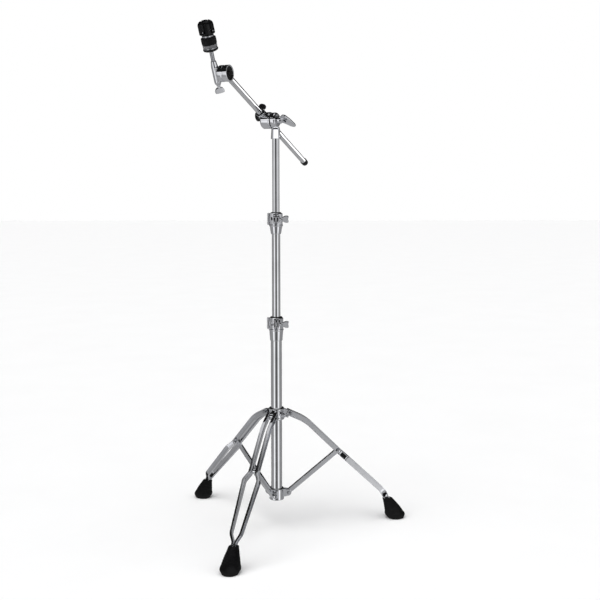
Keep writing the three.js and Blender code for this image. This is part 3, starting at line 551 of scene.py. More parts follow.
def build_clamp(side, clamp):
    height = clamp["ring"]
    ring_radius = clamp["ring_radius"]
    bell = clamp["bell"]
    bush_bore = clamp["narrow"] + GAP
    ring_bore = bush_bore + BUSH_WALL + GAP
    bell_bore = clamp["wide"] + GAP
    stop = -3.2
    pin_x = -ring_radius - CLAMP_HINGE["offset"]
    pin_radius = CLAMP_HINGE["pin"]
    knuckle_radius = CLAMP_HINGE["knuckle"]
    knuckle_bottom = CLAMP_HINGE["margin"]
    knuckle_top = knuckle_bottom + CLAMP_HINGE["height"]
    bolt_y = -ring_radius - 7.6
    bolt_z = height / 2
    ear = {"inner": 0.8, "outer": 7.5, "front": bolt_y - 7, "back": -ring_bore - 0.6,
           "low": 5, "high": height - 5}
    place = STAND @ shift(0, 0, clamp["split"])

    def zone(edge, bottom):
        reach = 2 * ring_radius
        outline = [(edge, edge - 0.4), (edge, -reach), (-reach, -reach), (-reach, edge - 0.4)]
        return at(plate(outline, 2 * height, 0), shift(0, 0, height + bottom))

    def knuckle(bottom, top, back):
        web = (0, knuckle_radius) if back else (-knuckle_radius, -0.8)
        return [
            at(rod(knuckle_radius, bottom, top, FINE, 0.5), shift(pin_x, 0, 0)),
            block((pin_x, -ring_radius + 3), web, (bottom, top), 0.4),
        ]

    def recess(bottom, top):
        return at(rod(knuckle_radius + 0.5, bottom, top, FINE, 0), shift(pin_x, 0, 0))

    def bolt_hole(radius):
        return at(rod(radius, -20, 20, FINE, 0), shift(0, bolt_y, bolt_z) @ ALONG_X)

    def ear_block(near, far):
        low, high = sorted((near, far))
        outline = smoothed_outline([
            (ear["back"] + 1, ear["low"] - 3), (ear["back"] + 1, ear["high"] + 3),
            (ear["front"] + 3, ear["high"]), (ear["front"], ear["high"] - 4), (ear["front"], ear["low"] + 4),
            (ear["front"] + 3, ear["low"]),
        ], 4)
        upright_yz = Matrix(((0, 0, 1, 0), (1, 0, 0, 0), (0, 1, 0, 0), (0, 0, 0, 1)))
        return at(plate(outline, high - low, 1.2), shift((low + high) / 2, 0, 0) @ upright_yz)

    def pin_hole():
        return at(rod(pin_radius + GAP, -1, height + 1, FINE, 0), shift(pin_x, 0, 0))

    def bore():
        return rod(ring_bore, stop, height + 1, ROUND, 0)

    shell = lathe([
        (bell_bore, -bell), (clamp["neck_radius"] - 0.8, -bell), (clamp["neck_radius"], -bell + 1.5),
        (clamp["bell_radius"], -4), (ring_radius + 0.9, -3),
        (ring_radius + 0.9, -0.2), (ring_radius, 0.8),
        (ring_radius, height - 2), (ring_radius - 2, height), (ring_bore, height), (ring_bore, stop),
        (bell_bore, stop),
    ], ROUND, 1.6, closed=True)
    body = combined(shell, cut=[zone(0.4, 0.2)])
    low_knuckle = knuckle(knuckle_bottom, knuckle_top, True)
    high_knuckle = knuckle(height - knuckle_top, height - knuckle_bottom, True)
    jaw_room = recess(knuckle_top + 0.2, height - knuckle_top - 0.2)
    body = combined(body, add=[ear_block(ear["inner"], ear["outer"]), *low_knuckle, *high_knuckle],
                    cut=[jaw_room, pin_hole(), bolt_hole(3 + GAP), bore()])
    fine(f"{side}_clamp_body", body, place, CAST_CHROME)

    jaw = combined(ring(ring_bore, ring_radius, 0.8, height, ROUND, 1.4), meet=[zone(-0.4, 0.8)])
    jaw = combined(jaw, cut=[recess(0, knuckle_top + 0.4), recess(height - knuckle_top - 0.4, height)])
    middle_knuckle = knuckle(knuckle_top + 0.6, height - knuckle_top - 0.6, False)
    jaw = combined(jaw, add=[ear_block(-ear["outer"], -ear["inner"]), *middle_knuckle],
                   cut=[pin_hole(), bolt_hole(4.6), bore()])
    on_hinge = place @ shift(pin_x, 0, 0)
    fine(f"{side}_clamp_jaw", at(jaw, shift(-pin_x, 0, 0)), on_hinge, CAST_CHROME)

    fine(f"{side}_clamp_hinge_pin", rod(pin_radius, 0.2, height - 0.2, FINE, 0.6), on_hinge, STEEL)

    screw = at(wing_screw(3, ear["outer"] * 2 + 6, 8, 5.5, 22, 18, 5, dip=0.12), ALONG_X @ turn("Z", 24))
    nut = at(plate(hexagon(5.4), 4, 0.5), shift(-2 * ear["outer"] - 4.5, 0, 0) @ ALONG_X)
    fine(f"{side}_clamp_wing_screw", combined(screw, add=[nut]),
         place @ shift(ear["outer"] + GAP, bolt_y, bolt_z), CAST_CHROME)

    rim = clamp["narrow"] + BUSH_WALL + 1.6
    bush = lathe([
        (bush_bore, stop + GAP), (bush_bore + BUSH_WALL, stop + GAP), (bush_bore + BUSH_WALL, height + GAP),
        (rim, height + GAP), (rim, height + 2), (bush_bore, height + 2),
    ], ROUND, 0.4, closed=True)
    fine(f"{side}_clamp_bush", bush, place, NYLON)


# ---- tripod


def lug(pivot, root, bottom, top, radius, thickness):
    outline = [(root, top), (root, bottom)] + arc(pivot, radius, -90, 90, 28)
    return at(plate(outline, thickness, min(1.0, thickness * 0.3)), UPRIGHT)


def pin_hole_y(radius, pivot):
    return at(rod(radius, -20, 20, FINE, 0), to_point(pivot) @ ALONG_Y)


def build_leg_hub():
    radius, bottom, top = HUB["radius"], HUB["bottom"], HUB["top"]
    bore = BASE_TUBE["radius"] + GAP
    barrel = lathe([
        (bore, bottom), (radius - 2, bottom), (radius, bottom + 2.4), (radius, bottom + 6),
        (radius - 1, bottom + 7), (radius - 1, top - 7), (radius, top - 6), (radius, top - 2.4),
        (radius - 2, top), (bore, top),
    ], ROUND, 1.0, closed=True)
    add, cut = [], []
    for azimuth in LEG_AZIMUTH.values():
        add.append(at(lug(HUB_PIVOT, radius - 4, bottom + 3, top - 3, HUB["lug_round"], 2 * HUB["lug_half"]),
                      turn("Z", azimuth)))
        cut.append(at(pin_hole_y(PIN_RADIUS + GAP, HUB_PIVOT), turn("Z", azimuth)))
    screw_line = turn("Z", HUB_SCREW_AZIMUTH) @ shift(0, 0, HUB_PIVOT[1]) @ ALONG_X
    add.append(at(rod(7, 12, radius + 5, FINE, 1.0), screw_line))
    cut.append(at(rod(4 + GAP, 10, radius + 8, FINE, 0), screw_line))
    cut.append(rod(bore, bottom - 1, top + 1, ROUND, 0))
    fine("leg_hub", combined(barrel, add, cut), STAND, CAST_CHROME)

    screw = at(wing_screw(4, 10, 4, 6, 20, 11, 5), ALONG_X @ turn("Z", 60))
    boss_face = shift(0, 0, HUB_PIVOT[1]) @ turn("Z", HUB_SCREW_AZIMUTH) @ shift(radius + 5 + GAP, 0, 0)
    fine("hub_wing_screw", screw, STAND @ boss_face, CAST_CHROME)


def build_lower_hub():
    radius, bottom, top = LOWER_HUB["radius"], LOWER_HUB["bottom"], LOWER_HUB["top"]
    bore = BASE_TUBE["radius"] + GAP
    barrel = lathe([
        (bore, bottom), (radius - 1, bottom), (radius, bottom + 1.5), (radius, top - 2), (radius - 1.6, top),
        (bore, top),
    ], ROUND, 0.9, closed=True)
    offset = BRACE["half"] + 0.4 + LOWER_HUB["lug"] / 2
    add, cut = [], []
    for azimuth in LEG_AZIMUTH.values():
        for side in (offset, -offset):
            ear = lug(LOWER_PIVOT, radius - 4, LOWER_PIVOT[1] - 11, LOWER_PIVOT[1] + 11,
                      LOWER_HUB["lug_round"], LOWER_HUB["lug"])
            add.append(at(ear, turn("Z", azimuth) @ shift(0, side, 0)))
        cut.append(at(pin_hole_y(PIN_RADIUS + GAP, LOWER_PIVOT), turn("Z", azimuth)))
    cut.append(rod(bore, bottom - 1, top + 1, ROUND, 0))
    fine("lower_hub", combined(barrel, add, cut), STAND, CAST_CHROME)

    edge, inner, base = BASE_TUBE["radius"] - 0.4, BASE_TUBE["bore"] - GAP, BASE_TUBE["bottom"]
    plug = lathe([
        (0, base - 2.4), (edge, base - 2.4), (edge, base - GAP), (inner, base - GAP), (inner, base + 14),
        (inner - 2.7, base + 14), (inner - 2.7, base + 2), (0, base + 2),
    ], ROUND, 0.5)
    fine("base_end_plug", plug, STAND, PLASTIC)


def rail_stations(steps=10):
    """Points along a leg bar, each bend a curve."""
    corners = [Vector((r, half, z)) for r, z, half, _ in BAR_RAIL]
    stations = [corners[0]]
    for i in range(1, len(corners) - 1):
        reach = BAR_RAIL[i][3] / 2
        before = corners[i] + (corners[i - 1] - corners[i]).normalized() * reach
        after = corners[i] + (corners[i + 1] - corners[i]).normalized() * reach
        for step in range(steps + 1):
            t = step / steps
            stations.append(before.lerp(corners[i], t).lerp(corners[i].lerp(after, t), t))
    stations.append(corners[-1])
    return stations


def bar_width_at(z):
    """Share of its full width that a bar has at a height."""
    share = (z - PINCH["end"]) / (PINCH["start"] - PINCH["end"])
    return PINCH["width"] + (1 - PINCH["width"]) * min(max(share, 0), 1)


def channel_section():
    """U section, open towards the leg's middle plane, with rolled corners."""
    x, y, wall = BAR["width"] / 2, BAR["height"] / 2, BAR["wall"]
    outer = [(-x, -y), (x, -y), (x, y), (-x, y)]
    inner = [(-x, y - wall), (x - wall, y - wall), (x - wall, -y + wall), (-x, -y + wall)]
    rolled = []
    for i, point in enumerate(outer + inner):
        neighbours = (outer + inner)[i - 1], (outer + inner)[(i + 1) % 8]
        radius = 1.9 if i in (1, 2) else 0.5
        curve = softened([neighbours[0], point, neighbours[1]], radius, closed=False, steps=5)
        rolled += [tuple(p) for p in curve[1:-1]]
    return rolled


def swept(section, stations):
    shape = bmesh.new()
    loops = []
    last = len(stations) - 1
    for i, station in enumerate(stations):
        along = (stations[min(i + 1, last)] - stations[max(i - 1, 0)]).normalized()
        upward = -(Vector((0, 1, 0)).cross(along)).normalized()
        across = -(upward.cross(along)).normalized()
        width = bar_width_at(station.z)
        loops.append([shape.verts.new(station + across * x * width + upward * y) for x, y in section])
    count = len(section)
    for a, b in zip(loops, loops[1:]):
        for k in range(count):
            shape.faces.new([a[k], a[(k + 1) % count], b[(k + 1) % count], b[k]])
    shape.faces.new(list(reversed(loops[0])))
    shape.faces.new(loops[-1])
    bmesh.ops.recalc_face_normals(shape, faces=shape.faces)
    return shape


def leg_bar():
    web = 8.9 + BAR["width"] / 2
    rivet = at(lathe([
        (0, BRACE["half"] + GAP), (PIN_RADIUS, BRACE["half"] + GAP), (PIN_RADIUS, web - 1.4), (5, web - 1.4),
        (5, web + 0.5), (3.6, web + 1.6), (0, web + 1.9),
    ], FINE, 0.7), to_point(BRACE_PIVOT) @ ALONG_Y)
    hole = at(rod(PIN_RADIUS + GAP, 0, 30, FINE, 0), to_point(HUB_PIVOT) @ ALONG_Y)
    return combined(swept(channel_section(), rail_stations()), add=[rivet], cut=[hole])


def boot():
    """Leaning rubber teardrop with moulded ribs on a wider, chamfered sole."""
    wall = [(25.4, 19), (22.2, 32), (17.8, 45.5), (15, 54.5)]
    profile = [(0, 0), (21.5, 0), (27.4, 10), (27.4, 15), (25.4, 18.5)]
    ribs = 7

    def radius_at(z):
        for (r0, z0), (r1, z1) in zip(wall, wall[1:]):
            if z <= z1:
                return r0 + (r1 - r0) * (z - z0) / (z1 - z0)
        return wall[-1][0]

    bottom, top = wall[0][1], wall[-1][1]
    step = (top - bottom) / ribs
    for k in range(ribs):
        z = bottom + k * step
        profile += [(radius_at(z), z), (radius_at(z + 0.55 * step), z + 0.55 * step),
                    (radius_at(z + 0.66 * step) - 1.2, z + 0.66 * step),
                    (radius_at(z + 0.88 * step) - 1.2, z + 0.88 * step)]
    profile += [(15, top), (13.6, FOOT["top"] - 1), (11.5, FOOT["top"]), (0, FOOT["top"])]
    shape = lathe(profile, 72, 0.7)
    for vertex in shape.verts:
        height = max(vertex.co.z / FOOT["top"], 0)
        vertex.co.x = (vertex.co.x + FOOT["top_shift"] * height ** 1.4) * FOOT["length"]
        vertex.co.y *= FOOT["width"]
    return shape


def build_leg(side):
    plane = LEG_PLANE[side]
    pivot = to_point(HUB_PIVOT)
    to_pivot = pivot.inverted()
    mirror = Matrix.Diagonal((1, -1, 1, 1))
    bar = leg_bar()
    other = at(bar.copy(), to_pivot @ mirror)
    place = plane @ pivot
    fine(f"leg_{side}_bar_1", at(bar, to_pivot), place, CHANNEL_CHROME)
    fine(f"leg_{side}_bar_2", other, place, CHANNEL_CHROME)
    fine(f"leg_{side}_boot", at(boot(), to_pivot @ shift(FOOT["r"], 0, 0)), place, RUBBER)
    fine(f"leg_{side}_hub_pin", headed_pin(PIN_RADIUS, 29.4), place, STEEL)

    lower = plane @ to_point(LOWER_PIVOT)
    end = (BRACE_PIVOT[0] - LOWER_PIVOT[0], BRACE_PIVOT[1] - LOWER_PIVOT[1])
    angle = math.degrees(math.atan2(end[1], end[0]))
    outline = arc((0, 0), BRACE["round"], angle + 90, angle + 270, 20)
    outline += arc(end, BRACE["round"], angle - 90, angle + 90, 20)
    bush_radius = 4.4
    link = combined(at(plate(outline, 2 * BRACE["half"], 1.5), UPRIGHT), cut=[
        at(rod(PIN_RADIUS + GAP, -9, 9, FINE, 0), ALONG_Y),
        at(rod(bush_radius + GAP, -9, 9, FINE, 0), to_point(end) @ ALONG_Y),
    ])
    fine(f"brace_{side}", link, lower, CHANNEL_CHROME)
    fine(f"brace_{side}_bush", at(rod(bush_radius, -BRACE["half"], BRACE["half"], FINE, 0.4), ALONG_Y),
         lower @ to_point(end), STEEL)
    fine(f"brace_{side}_pin", headed_pin(PIN_RADIUS, 17.4), lower, STEEL)


# ---- boom tilter


def build_tilter():
    drop = SOCKET["bottom"] - TILT_HEIGHT
    neck_radius, neck_top = SOCKET["neck_radius"], -TILT_DRUM["radius"] + 3
    cone = lathe([
        (0, drop), (SOCKET["radius"], drop), (SOCKET["shoulder_radius"], SOCKET["shoulder"] - TILT_HEIGHT),
        (neck_radius, SOCKET["neck"] - TILT_HEIGHT), (neck_radius, neck_top), (0, neck_top),
    ], ROUND, 1.0)
    boss_line = shift(0, 0, drop + SOCKET["screw_height"]) @ turn("Z", SOCKET["screw_azimuth"]) @ ALONG_X
    boss_end = SOCKET["radius"] + 1.6
    boss = at(rod(SOCKET["screw_boss"], TOP_TUBE["radius"], boss_end, FINE, 0.7), boss_line)
    radius, left, right = TILT_DRUM["radius"], TILT_DRUM["left"], TILT_DRUM["right"]
    drum = at(lathe([
        (0, left), (radius, left), (radius, right - 4), (radius - 3, right), (0, right),
    ], ROUND, 1.4), ALONG_Y)
    tube_hole = rod(TOP_TUBE["radius"] + GAP, drop - 1, TOP_TUBE["top"] - TILT_HEIGHT + GAP, ROUND, 0)
    bolt_hole = at(rod(4 + GAP, -30, 30, FINE, 0), ALONG_Y)
    fine("tilter_base", combined(cone, add=[drum, boss], cut=[tube_hole, bolt_hole]), HEAD, CAST_CHROME)
    set_screw = lathe([(0, -0.6), (2.4, -0.6), (2.4, 0.8), (1.4, 0.8), (1.4, 0.1), (0, 0.1)], FINE, 0.2)
    piece("socket_set_screw", set_screw, HEAD @ boss_line @ shift(0, 0, boss_end), STEEL, "top_tube")

    outline = smoothed_outline(LEVER_OUTLINE, 3.5)
    opening = smoothed_outline(LEVER_OPENING, 2)
    paddle = combined(plate(outline, LEVER_THICKNESS, 2.2), cut=[plate(opening, LEVER_THICKNESS + 2, 0)])
    shaft = lathe([
        (0, -38), (3.2, -38), (4, -37), (4, right + GAP), (10, right + GAP), (10, 14), (7.4, 18.6), (6.5, 20),
        (0, 20),
    ], FINE, 0.8)
    lever = combined(at(shaft, ALONG_Y), add=[at(paddle, turn("Y", 90) @ turn("Z", 90))])
    fine("tilter_lever", lever, HEAD @ turn("Y", LEVER_TURN), CAST_CHROME)

    face = left - GAP
    washer = at(ring(4.6, radius - 4.5, face - WASHER_THICKNESS, face, ROUND, 0.3), ALONG_Y)
    fine("tilter_friction_washer", washer, BOOM_FRAME, NYLON)

    drum_face = face - WASHER_THICKNESS - GAP
    radius, end = HOLDER["drum_radius"], HOLDER["drum_end"]
    holder_drum = at(lathe([
        (0, end), (radius - 4, end), (radius, end + 4), (radius, drum_face - 3.4),
        (radius - 1.2, drum_face - 3), (radius - 1.2, drum_face), (0, drum_face),
    ], ROUND, 1.2), ALONG_Y)
    on_boom = shift(0, BOOM_SIDE, BOOM_RISE)
    sleeve = at(rod(HOLDER["radius"], -HOLDER["half"], HOLDER["half"], ROUND, 2.0), on_boom @ ALONG_X)
    cap_boss = at(rod(9, HOLDER["cap_face"] + GAP, HOLDER["cap_face"] + 6, FINE, 0.3),
                  shift(0, 0, BOOM_RISE) @ ALONG_Y)
    knob_at = shift(KNOB["x"], BOOM_SIDE, BOOM_RISE)
    knob_boss = at(rod(7, 8, KNOB["base"] - GAP, FINE, 0.5), knob_at)
    body = combined(holder_drum, add=[sleeve, cap_boss, knob_boss], cut=[
        at(rod(BOOM["radius"] + 1.9, -60, 60, ROUND, 0), on_boom @ ALONG_X),
        at(rod(4 + GAP, -38.3, 0, FINE, 0), ALONG_Y),
        at(rod(3 + GAP, 0, KNOB["base"] + 1, FINE, 0), knob_at),
    ])
    fine("boom_holder", body, BOOM_FRAME, CAST_CHROME)

    radius, end, face = HOLDER["cap_radius"], HOLDER["cap_end"], HOLDER["cap_face"]
    cap = at(lathe([
        (0, end), (radius - 3.5, end), (radius, end + 3), (radius, face), (0, face),
    ], ROUND, 1.2), shift(0, 0, BOOM_RISE) @ ALONG_Y)
    fine("boom_holder_cap", cap, BOOM_FRAME, PLASTIC)

    tip, base, top, radius = (KNOB[key] for key in ("tip", "base", "top", "radius"))
    knob = lathe([
        (0, tip), (3, tip), (3, base), (6, base), (radius, base + 3), (radius, top - 2), (radius - 2, top),
        (0, top),
    ], 84, 1.0)
    for vertex in knob.verts:
        if vertex.co.z > base + 1:
            angle = math.atan2(vertex.co.y, vertex.co.x)
            share = 1 - KNOB["dip"] * (0.5 - 0.5 * math.cos(KNOB["lobes"] * angle))
            vertex.co.x *= share
            vertex.co.y *= share
    fine("boom_clamp_knob", knob, BOOM_FRAME @ knob_at, PLASTIC)

    bush_end = HOLDER["half"] + 1
    bush = ring(BOOM["radius"] + GAP, BOOM["radius"] + 1.6, -bush_end, bush_end, ROUND, 0.3)
    fine("boom_bush", at(bush, ALONG_X), BOOM_AXIS, NYLON)


# ---- boom


def build_boom():
    """Boom with its end pieces. Returns the tube, which has a card of its own to mirror."""
    tube_end = BOOM["drum"] - END_DRUM["radius"] - GAP
    low = BOOM["low"]
    tube = ring(BOOM["bore"], BOOM["radius"], low, tube_end, LONG_TUBE, 0.4)
    boom_tube = fine("boom_tube", at(tube, ALONG_X), BOOM_AXIS, BOOM_CHROME)

    cap = lathe([
        (0, low - 16), (6, low - 16), (9.0, low - 13.6), (9.3, low - 11), (9.6, low + 1),
        (BOOM["radius"] + GAP, low + 1), (BOOM["radius"] + GAP, low - GAP), (BOOM["bore"] - GAP, low - GAP),
        (BOOM["bore"] - GAP, low + 8), (0, low + 8),
    ], ROUND, 0.8)
    fine("boom_end_cap", at(cap, ALONG_X), BOOM_AXIS, PLASTIC)

    radius, half = END_DRUM["radius"], END_DRUM["half"]
    drum = lathe([
        (0, -half), (radius - 0.6, -half), (radius, -half + 1), (radius, -3), (radius - 1.6, -3),
        (radius - 1.6, 2), (radius, 2), (radius, half), (radius - 3.4, half), (radius - 3.4, half - 5),
        (0, half - 5),
    ], ROUND, 0.7)
    plug = at(rod(BOOM["bore"] - GAP, -radius - 14, -radius + 4, ROUND, 0.3), ALONG_X)
    neck = at(lathe([
        (0, -radius + 0.2), (BOOM["radius"] + 1.0, -radius + 0.2), (BOOM["radius"] + 1.6, -radius + 8),
        (0, -radius + 8),
    ], ROUND, 0.6), ALONG_X)
    fine("end_drum", combined(at(drum, ALONG_Y), add=[plug, neck]), DRUM_FRAME, CAST_CHROME)

    face = lathe([
        (0, half - 5 + GAP), (radius - 3.8, half - 5 + GAP), (radius - 3.8, half - 2.4),
        (radius - 5.4, half - 2), (radius - 6.4, half - 3), (6.4, half - 3), (5.2, half - 2), (5, half - 0.8),
        (3.6, half - 0.5), (0, half - 0.5),
    ], ROUND, 0.5)
    fine("end_drum_cap", at(face, ALONG_Y), DRUM_FRAME, PLASTIC)
    return boom_tube


# ---- cymbal tilter


def build_cymbal_tilter():
    face = -END_DRUM["half"] - GAP
    disc = lathe([(0, face - 4), (15.4, face - 4), (17, face - 2.6), (17, face), (0, face)], ROUND, 0.6)
    post = at(lathe([
        (0, -26), (6.4, -26), (7.4, -25), (8.6, -21), (8.6, 18), (7.2, 27), (6.6, 32), (0, 32),
    ], ROUND, 1.0), shift(0, ROD_SIDE, 0))
    web = block((-8, 8), (ROD_SIDE, face - 2), (-20, 17), 1.8)
    holder = combined(post, add=[web, at(disc, ALONG_Y)], cut=[
        at(rod(ROD["radius"] + GAP, ROD["bottom"] - GAP, 40, ROUND, 0), shift(0, ROD_SIDE, 0)),
        at(rod(3 + GAP, -30, 0, FINE, 0), shift(0, ROD_SIDE, 0)),
    ])
    fine("rod_holder", holder, ROD_FRAME, CAST_CHROME)

    hanging = turn("Z", NUT_TURN + 90) @ turn("X", 180)
    screw = at(wing_screw(3, 16, 9, 5.6, 25, 13.5, 8, dip=0, flare=0.08), hanging)
    fine("rod_wing_screw", screw, ON_ROD @ shift(0, 0, -26 - GAP), CAST_CHROME)

    smooth_part = rod(ROD["radius"], ROD["bottom"], ROD["shoulder"], ROUND, 0.5)
    screw_part = threads(ROD["screw"], ROD["shoulder"] - 1, ROD["top"])
    fine("cymbal_rod", combined(smooth_part, add=[screw_part]), ON_ROD, STEEL)


# ---- cymbal seat


def felt_ring(bore, radius, height, seed):
    """Felt ring with crowned faces, a slightly bulged rim and an uneven, hairy surface."""
    bulge = 0.35
    profile = [(bore, 0.5), (bore + 1.2, 0)]
    steps = 14
    for k in range(1, steps):
        profile.append((bore + 1.2 + (radius - bore - 2.6) * k / steps, 0))
    profile += [(radius - 1.2, 0.1), (radius - 0.35, 0.6)]
    rows = max(6, int(height * 1.4))
    for k in range(1, rows):
        t = k / rows
        profile.append((radius - 0.35 + bulge * math.sin(math.pi * t), 0.6 + (height - 1.2) * t))
    profile += [(radius - 0.35, height - 0.6), (radius - 1.2, height - 0.1)]
    for k in range(1, steps):
        profile.append((radius - 1.4 - (radius - bore - 2.6) * k / steps, height))
    profile += [(bore + 1.2, height), (bore, height - 0.5)]
    shape = lathe(profile, 160, 0.15, closed=True)
    origin = Vector((seed * 17.3, seed * 5.1, seed * 9.7))
    shape.normal_update()
    offsets = []
    for vertex in shape.verts:
        fuzz = 0.16 * noise.noise(vertex.co * 1.9 + origin) + 0.12 * noise.noise(vertex.co * 0.45 + origin)
        offsets.append(vertex.normal * (fuzz - 0.1))
    for vertex, offset in zip(shape.verts, offsets):
        vertex.co += offset
    return shape


def build_seat():
    bore, rod_bore = ROD["screw"] + GAP, ROD["radius"] + GAP
    step = ROD["shoulder"] + GAP
    bottom, rim, radius, sleeve, sleeve_top = (
        SEAT_CUP[key] for key in ("bottom", "rim", "radius", "sleeve", "sleeve_top"))
    cup = lathe([
        (rod_bore, bottom), (radius - 4.4, bottom), (radius - 1.2, bottom + 1.6), (radius, bottom + 3.4),
        (radius, rim), (sleeve, rim), (sleeve, sleeve_top), (bore, sleeve_top), (bore, step),
        (rod_bore, step),
    ], ROUND, 0.6, closed=True)
    fine("seat_cup", cup, ON_ROD, PLASTIC)

    low, high, outer = WASHER
    washer = ring(sleeve + 0.5, outer, 0, high - low, ROUND, 0.5)
    fine("seat_washer", washer, ON_ROD @ shift(0, 0, low), STEEL)
    felts = (("lower_felt", LOWER_FELT, GREY_FELT, 1), ("upper_felt", UPPER_FELT, BLACK_FELT, 2))
    for node, (low, high, outer), material, seed in felts:
        pad = felt_ring(sleeve + 0.5, outer, high - low, seed)
        fine(node, pad, ON_ROD @ shift(0, 0, low), material)

    low, high, outer = NUT_COLLAR
    height = high - low
    collar = lathe([
        (bore, 0), (outer - 0.8, 0), (outer, 1), (outer, height - 2.4), (outer - 2, height), (bore, height),
    ], ROUND, 0.6, closed=True)
    fine("nut_collar", collar, ON_ROD @ shift(0, 0, low), STEEL)


def nut_dome():
    top = NUT["top"]
    radius = NUT["radius"]
    return lathe([
        (0, NUT["bottom"]), (radius - 1, NUT["bottom"]), (radius, NUT["bottom"] + 1.2), (radius, top - 9),
        (radius - 1.4, top - 5), (radius - 5, top - 1.4), (radius - 9, top), (0, top),
    ], 120, 2.0)


def build_nut():
    wide = (-30, 30)
    slab = block((-NUT["slab_half"], NUT["slab_half"]), wide, (NUT["bottom"] - 1, NUT["top"] + 1), 0)
    base = block(wide, wide, (NUT["bottom"] - 1, NUT["base_top"]), 0)
    thread_hole = rod(ROD["screw"] + GAP, NUT["bottom"] - 1, ROD["top"] + 2, FINE, 0)
    keep = combined(slab, add=[base])
    body = combined(nut_dome(), meet=[keep], cut=[thread_hole])
    fine("quick_nut_body", rounded_edges(body, 0.7), NUT_FRAME, PLASTIC)

    for side, sign in (("left", -1), ("right", 1)):
        bottom, top, inner = NUT["wing_bottom"], NUT["top"] + 1, NUT["wing_inner"]
        outline = [(inner + 1.5, bottom), (30, bottom), (30, top), (inner, top)]
        zone = at(plate(outline, 60, 0), UPRIGHT)
        if sign < 0:
            zone = at(zone, Matrix.Diagonal((-1, 1, 1, 1)))
        grooves = []
        for k in range(5):
            z = bottom + 8 + 3.2 * k
            grooves.append(ring(NUT["radius"] - 0.7, NUT["radius"] + 3, z, z + 1.3, ROUND, 0.1))
        lever = combined(nut_dome(), meet=[zone], cut=grooves)
        pivot = shift(sign * NUT_PIN[0], 0, NUT_PIN[1])
        lever = rounded_edges(at(lever, pivot.inverted()), 0.6)
        fine(f"quick_nut_lever_{side}", lever, NUT_FRAME @ pivot, PLASTIC)
        reach = math.sqrt(NUT["radius"] ** 2 - NUT_PIN[0] ** 2) + 0.5
        pin = at(rod(1.5, -reach, reach, FINE, 0.5), ALONG_Y)
        piece(f"quick_nut_pin_{side}", pin, NUT_FRAME @ pivot, STEEL, "quick_nut_body")


# ---- stage and camera, in metres

FLOOR_HALF = 30

# What the chrome mirrors, as (elevation where the band starts, [(azimuth from the front, brightness)]).
SKY_BANDS = [
    (-90, [(0, 0.38), (180, 0.38)]),
    (-40, [(0, 0.10), (11, 0.10), (22, 0.34), (30, 0.55), (36, 1.05), (54, 1.05), (62, 0.28), (180, 0.28)]),
    (-1, [(0, 0.01), (17, 0.01), (23, 0.45), (30, 0.70), (60, 0.62), (90, 0.48), (122, 0.40), (130, 0.05)]),
    (8, [(0, 1.3), (50, 1.3), (70, 0.50), (100, 0.30), (122, 0.25), (132, 0.02)]),
    (15, [(0, 0.012), (180, 0.012)]),
    (66, [(0, 0.60), (180, 0.60)]),
]
SKY_BLEND = 2              # degrees over which one band turns into the next

SUNS = [
    # name, direction of the light, strength
    ("key", (0.5, 0.62, -1), 2.6),
    ("fill", (-0.7, 0.3, -1), 1.2),
]
SUN_SPREAD = 70

# A white card out of the camera's sight draws the bright line along the boom.
CARD = {"length": 1.2, "width": 0.6, "brightness": 1.5, "middle": (1.555, 0.885, 0.795),
        "along": (-0.13, 0.57, 1.05), "faces": (0, 0, 1.1)}

CAMERA = {"lens": 56.4, "sensor": 36, "place": (0, -2503.73, 908.14), "tilt": 6.42, "pan": 1.459}


def build_floor():
    """A wide pale floor. Reflections take their light from the sky instead of it."""
    mesh = bpy.data.meshes.new("floor")
    size = FLOOR_HALF
    corners = [(-size, -size, 0), (size, -size, 0), (size, size, 0), (-size, size, 0)]
    mesh.from_pydata(corners, [], [(0, 1, 2, 3)])
    floor = in_scene("floor", mesh)
    look = Look("floor_paper", Roughness=0.9)
    mottling = look.noise(3, detail=6)
    look.into("Base Color", look.ramp(mottling, (0.3, (0.93, 0.93, 0.93)), (0.7, (0.95, 0.95, 0.95))))
    mesh.materials.append(look.material)
    floor.visible_glossy = False


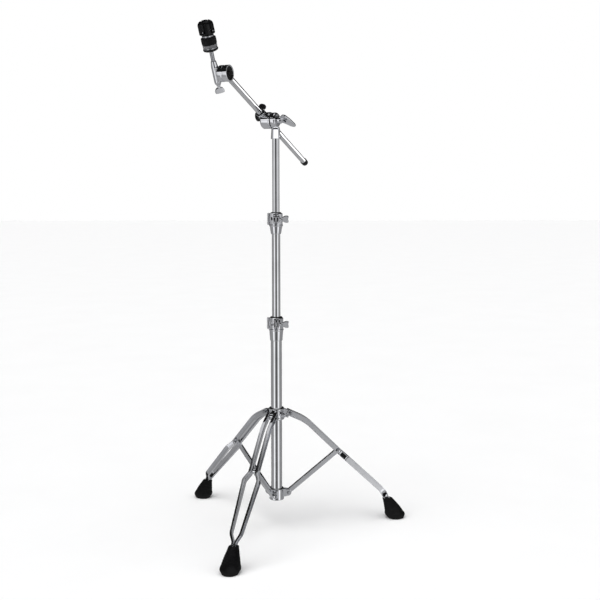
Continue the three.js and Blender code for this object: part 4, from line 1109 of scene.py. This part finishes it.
def build_sky():
    """White studio for the eye; the chrome mirrors the light and dark bands above."""
    world = bpy.data.worlds.new("studio")
    bpy.context.scene.world = world
    world.use_nodes = True
    tree = world.node_tree
    tree.nodes.clear()

    def math_node(operation, *inputs):
        numbers = {k: value for k, value in enumerate(inputs) if isinstance(value, (int, float))}
        sources = {k: value for k, value in enumerate(inputs) if k not in numbers}
        node = add_node(tree, "ShaderNodeMath", numbers, sources)
        node.operation = operation
        return node.outputs[0]

    def greys(stops):
        return add_ramp(tree, around, [(degrees / 180, (grey, grey, grey * 1.02)) for degrees, grey in stops])

    def mixed(factor, a, b):
        node = add_node(tree, "ShaderNodeMix", {}, {"Factor": factor})
        node.data_type = "RGBA"
        colors = [socket for socket in node.inputs if socket.type == "RGBA"]
        tree.links.new(a, colors[0])
        if isinstance(b, tuple):
            colors[1].default_value = b
        else:
            tree.links.new(b, colors[1])
        return next(socket for socket in node.outputs if socket.type == "RGBA")

    direction = tree.nodes.new("ShaderNodeTexCoord").outputs["Generated"]
    x, y, z = add_node(tree, "ShaderNodeSeparateXYZ", {}, {0: direction}).outputs
    azimuth = math_node("ABSOLUTE", math_node("ARCTAN2", x, math_node("MULTIPLY", y, -1)))
    around = math_node("DIVIDE", azimuth, math.pi)
    elevation = math_node("MULTIPLY", math_node("ARCSINE", z), 180 / math.pi)
    studio = greys(SKY_BANDS[0][1])
    for start, stops in SKY_BANDS[1:]:
        step = add_node(tree, "ShaderNodeMapRange", {"From Min": start - SKY_BLEND, "From Max": start},
                        {"Value": elevation})
        studio = mixed(step.outputs["Result"], studio, greys(stops))
    eye = tree.nodes.new("ShaderNodeLightPath").outputs["Is Camera Ray"]
    background = add_node(tree, "ShaderNodeBackground", {}, {"Color": mixed(eye, studio, (1, 1, 1, 1))})
    tree.links.new(background.outputs[0], tree.nodes.new("ShaderNodeOutputWorld").inputs["Surface"])


def build_lights(boom_tube):
    """Two wide soft suns for the matt parts, and a card that only the boom mirrors."""
    for name, direction, strength in SUNS:
        data = bpy.data.lights.new(name, "SUN")
        data.energy = strength
        data.angle = math.radians(SUN_SPREAD)
        light = in_scene(name, data)
        light.rotation_euler = Vector(direction).to_track_quat("-Z", "Y").to_euler()
        light.visible_glossy = False

    data = bpy.data.lights.new("card", "AREA")
    data.shape = "RECTANGLE"
    data.size = CARD["length"]
    data.size_y = CARD["width"]
    data.energy = CARD["brightness"] * math.pi * data.size * data.size_y
    card = in_scene("card", data)
    middle = Vector(CARD["middle"])
    along = Vector(CARD["along"]).normalized()
    facing = (Vector(CARD["faces"]) - middle).normalized()
    across = along.cross(facing).normalized()
    rotation = Matrix((along, across, along.cross(across))).transposed()
    card.matrix_world = STAND_METRES @ Matrix.Translation(middle) @ rotation.to_4x4()
    card.visible_camera = False
    lit = bpy.data.collections.new("lit_by_card")
    lit.objects.link(boom_tube)
    card.light_linking.receiver_collection = lit


def build_camera():
    """A long lens in front of the stand, above its middle and looking a little down."""
    data = bpy.data.cameras.new("camera")
    data.sensor_width = CAMERA["sensor"]
    data.lens = CAMERA["lens"]
    data.clip_end = 100
    camera = in_scene("camera", data)
    tilt = math.radians(CAMERA["tilt"])
    pan = math.radians(CAMERA["pan"])
    camera.location = (STAND @ Vector(CAMERA["place"])) * MM
    forward = Vector((math.sin(pan) * math.cos(tilt), math.cos(pan) * math.cos(tilt), -math.sin(tilt)))
    camera.rotation_euler = forward.to_track_quat("-Z", "Y").to_euler()
    bpy.context.scene.camera = camera


# ---- assembly

build_tube("base_tube", BASE_TUBE)
build_tube("middle_tube", MIDDLE_TUBE)
build_tube("top_tube", TOP_TUBE)
for clamp_side, clamp_sizes in CLAMPS.items():
    build_clamp(clamp_side, clamp_sizes)
build_leg_hub()
build_lower_hub()
for leg_side in LEG_AZIMUTH:
    build_leg(leg_side)
build_tilter()
mirrored_tube = build_boom()
build_cymbal_tilter()
build_seat()
build_nut()
build_floor()
build_sky()
build_lights(mirrored_tube)
build_camera()
bpy.context.scene.view_settings.view_transform = "Standard"
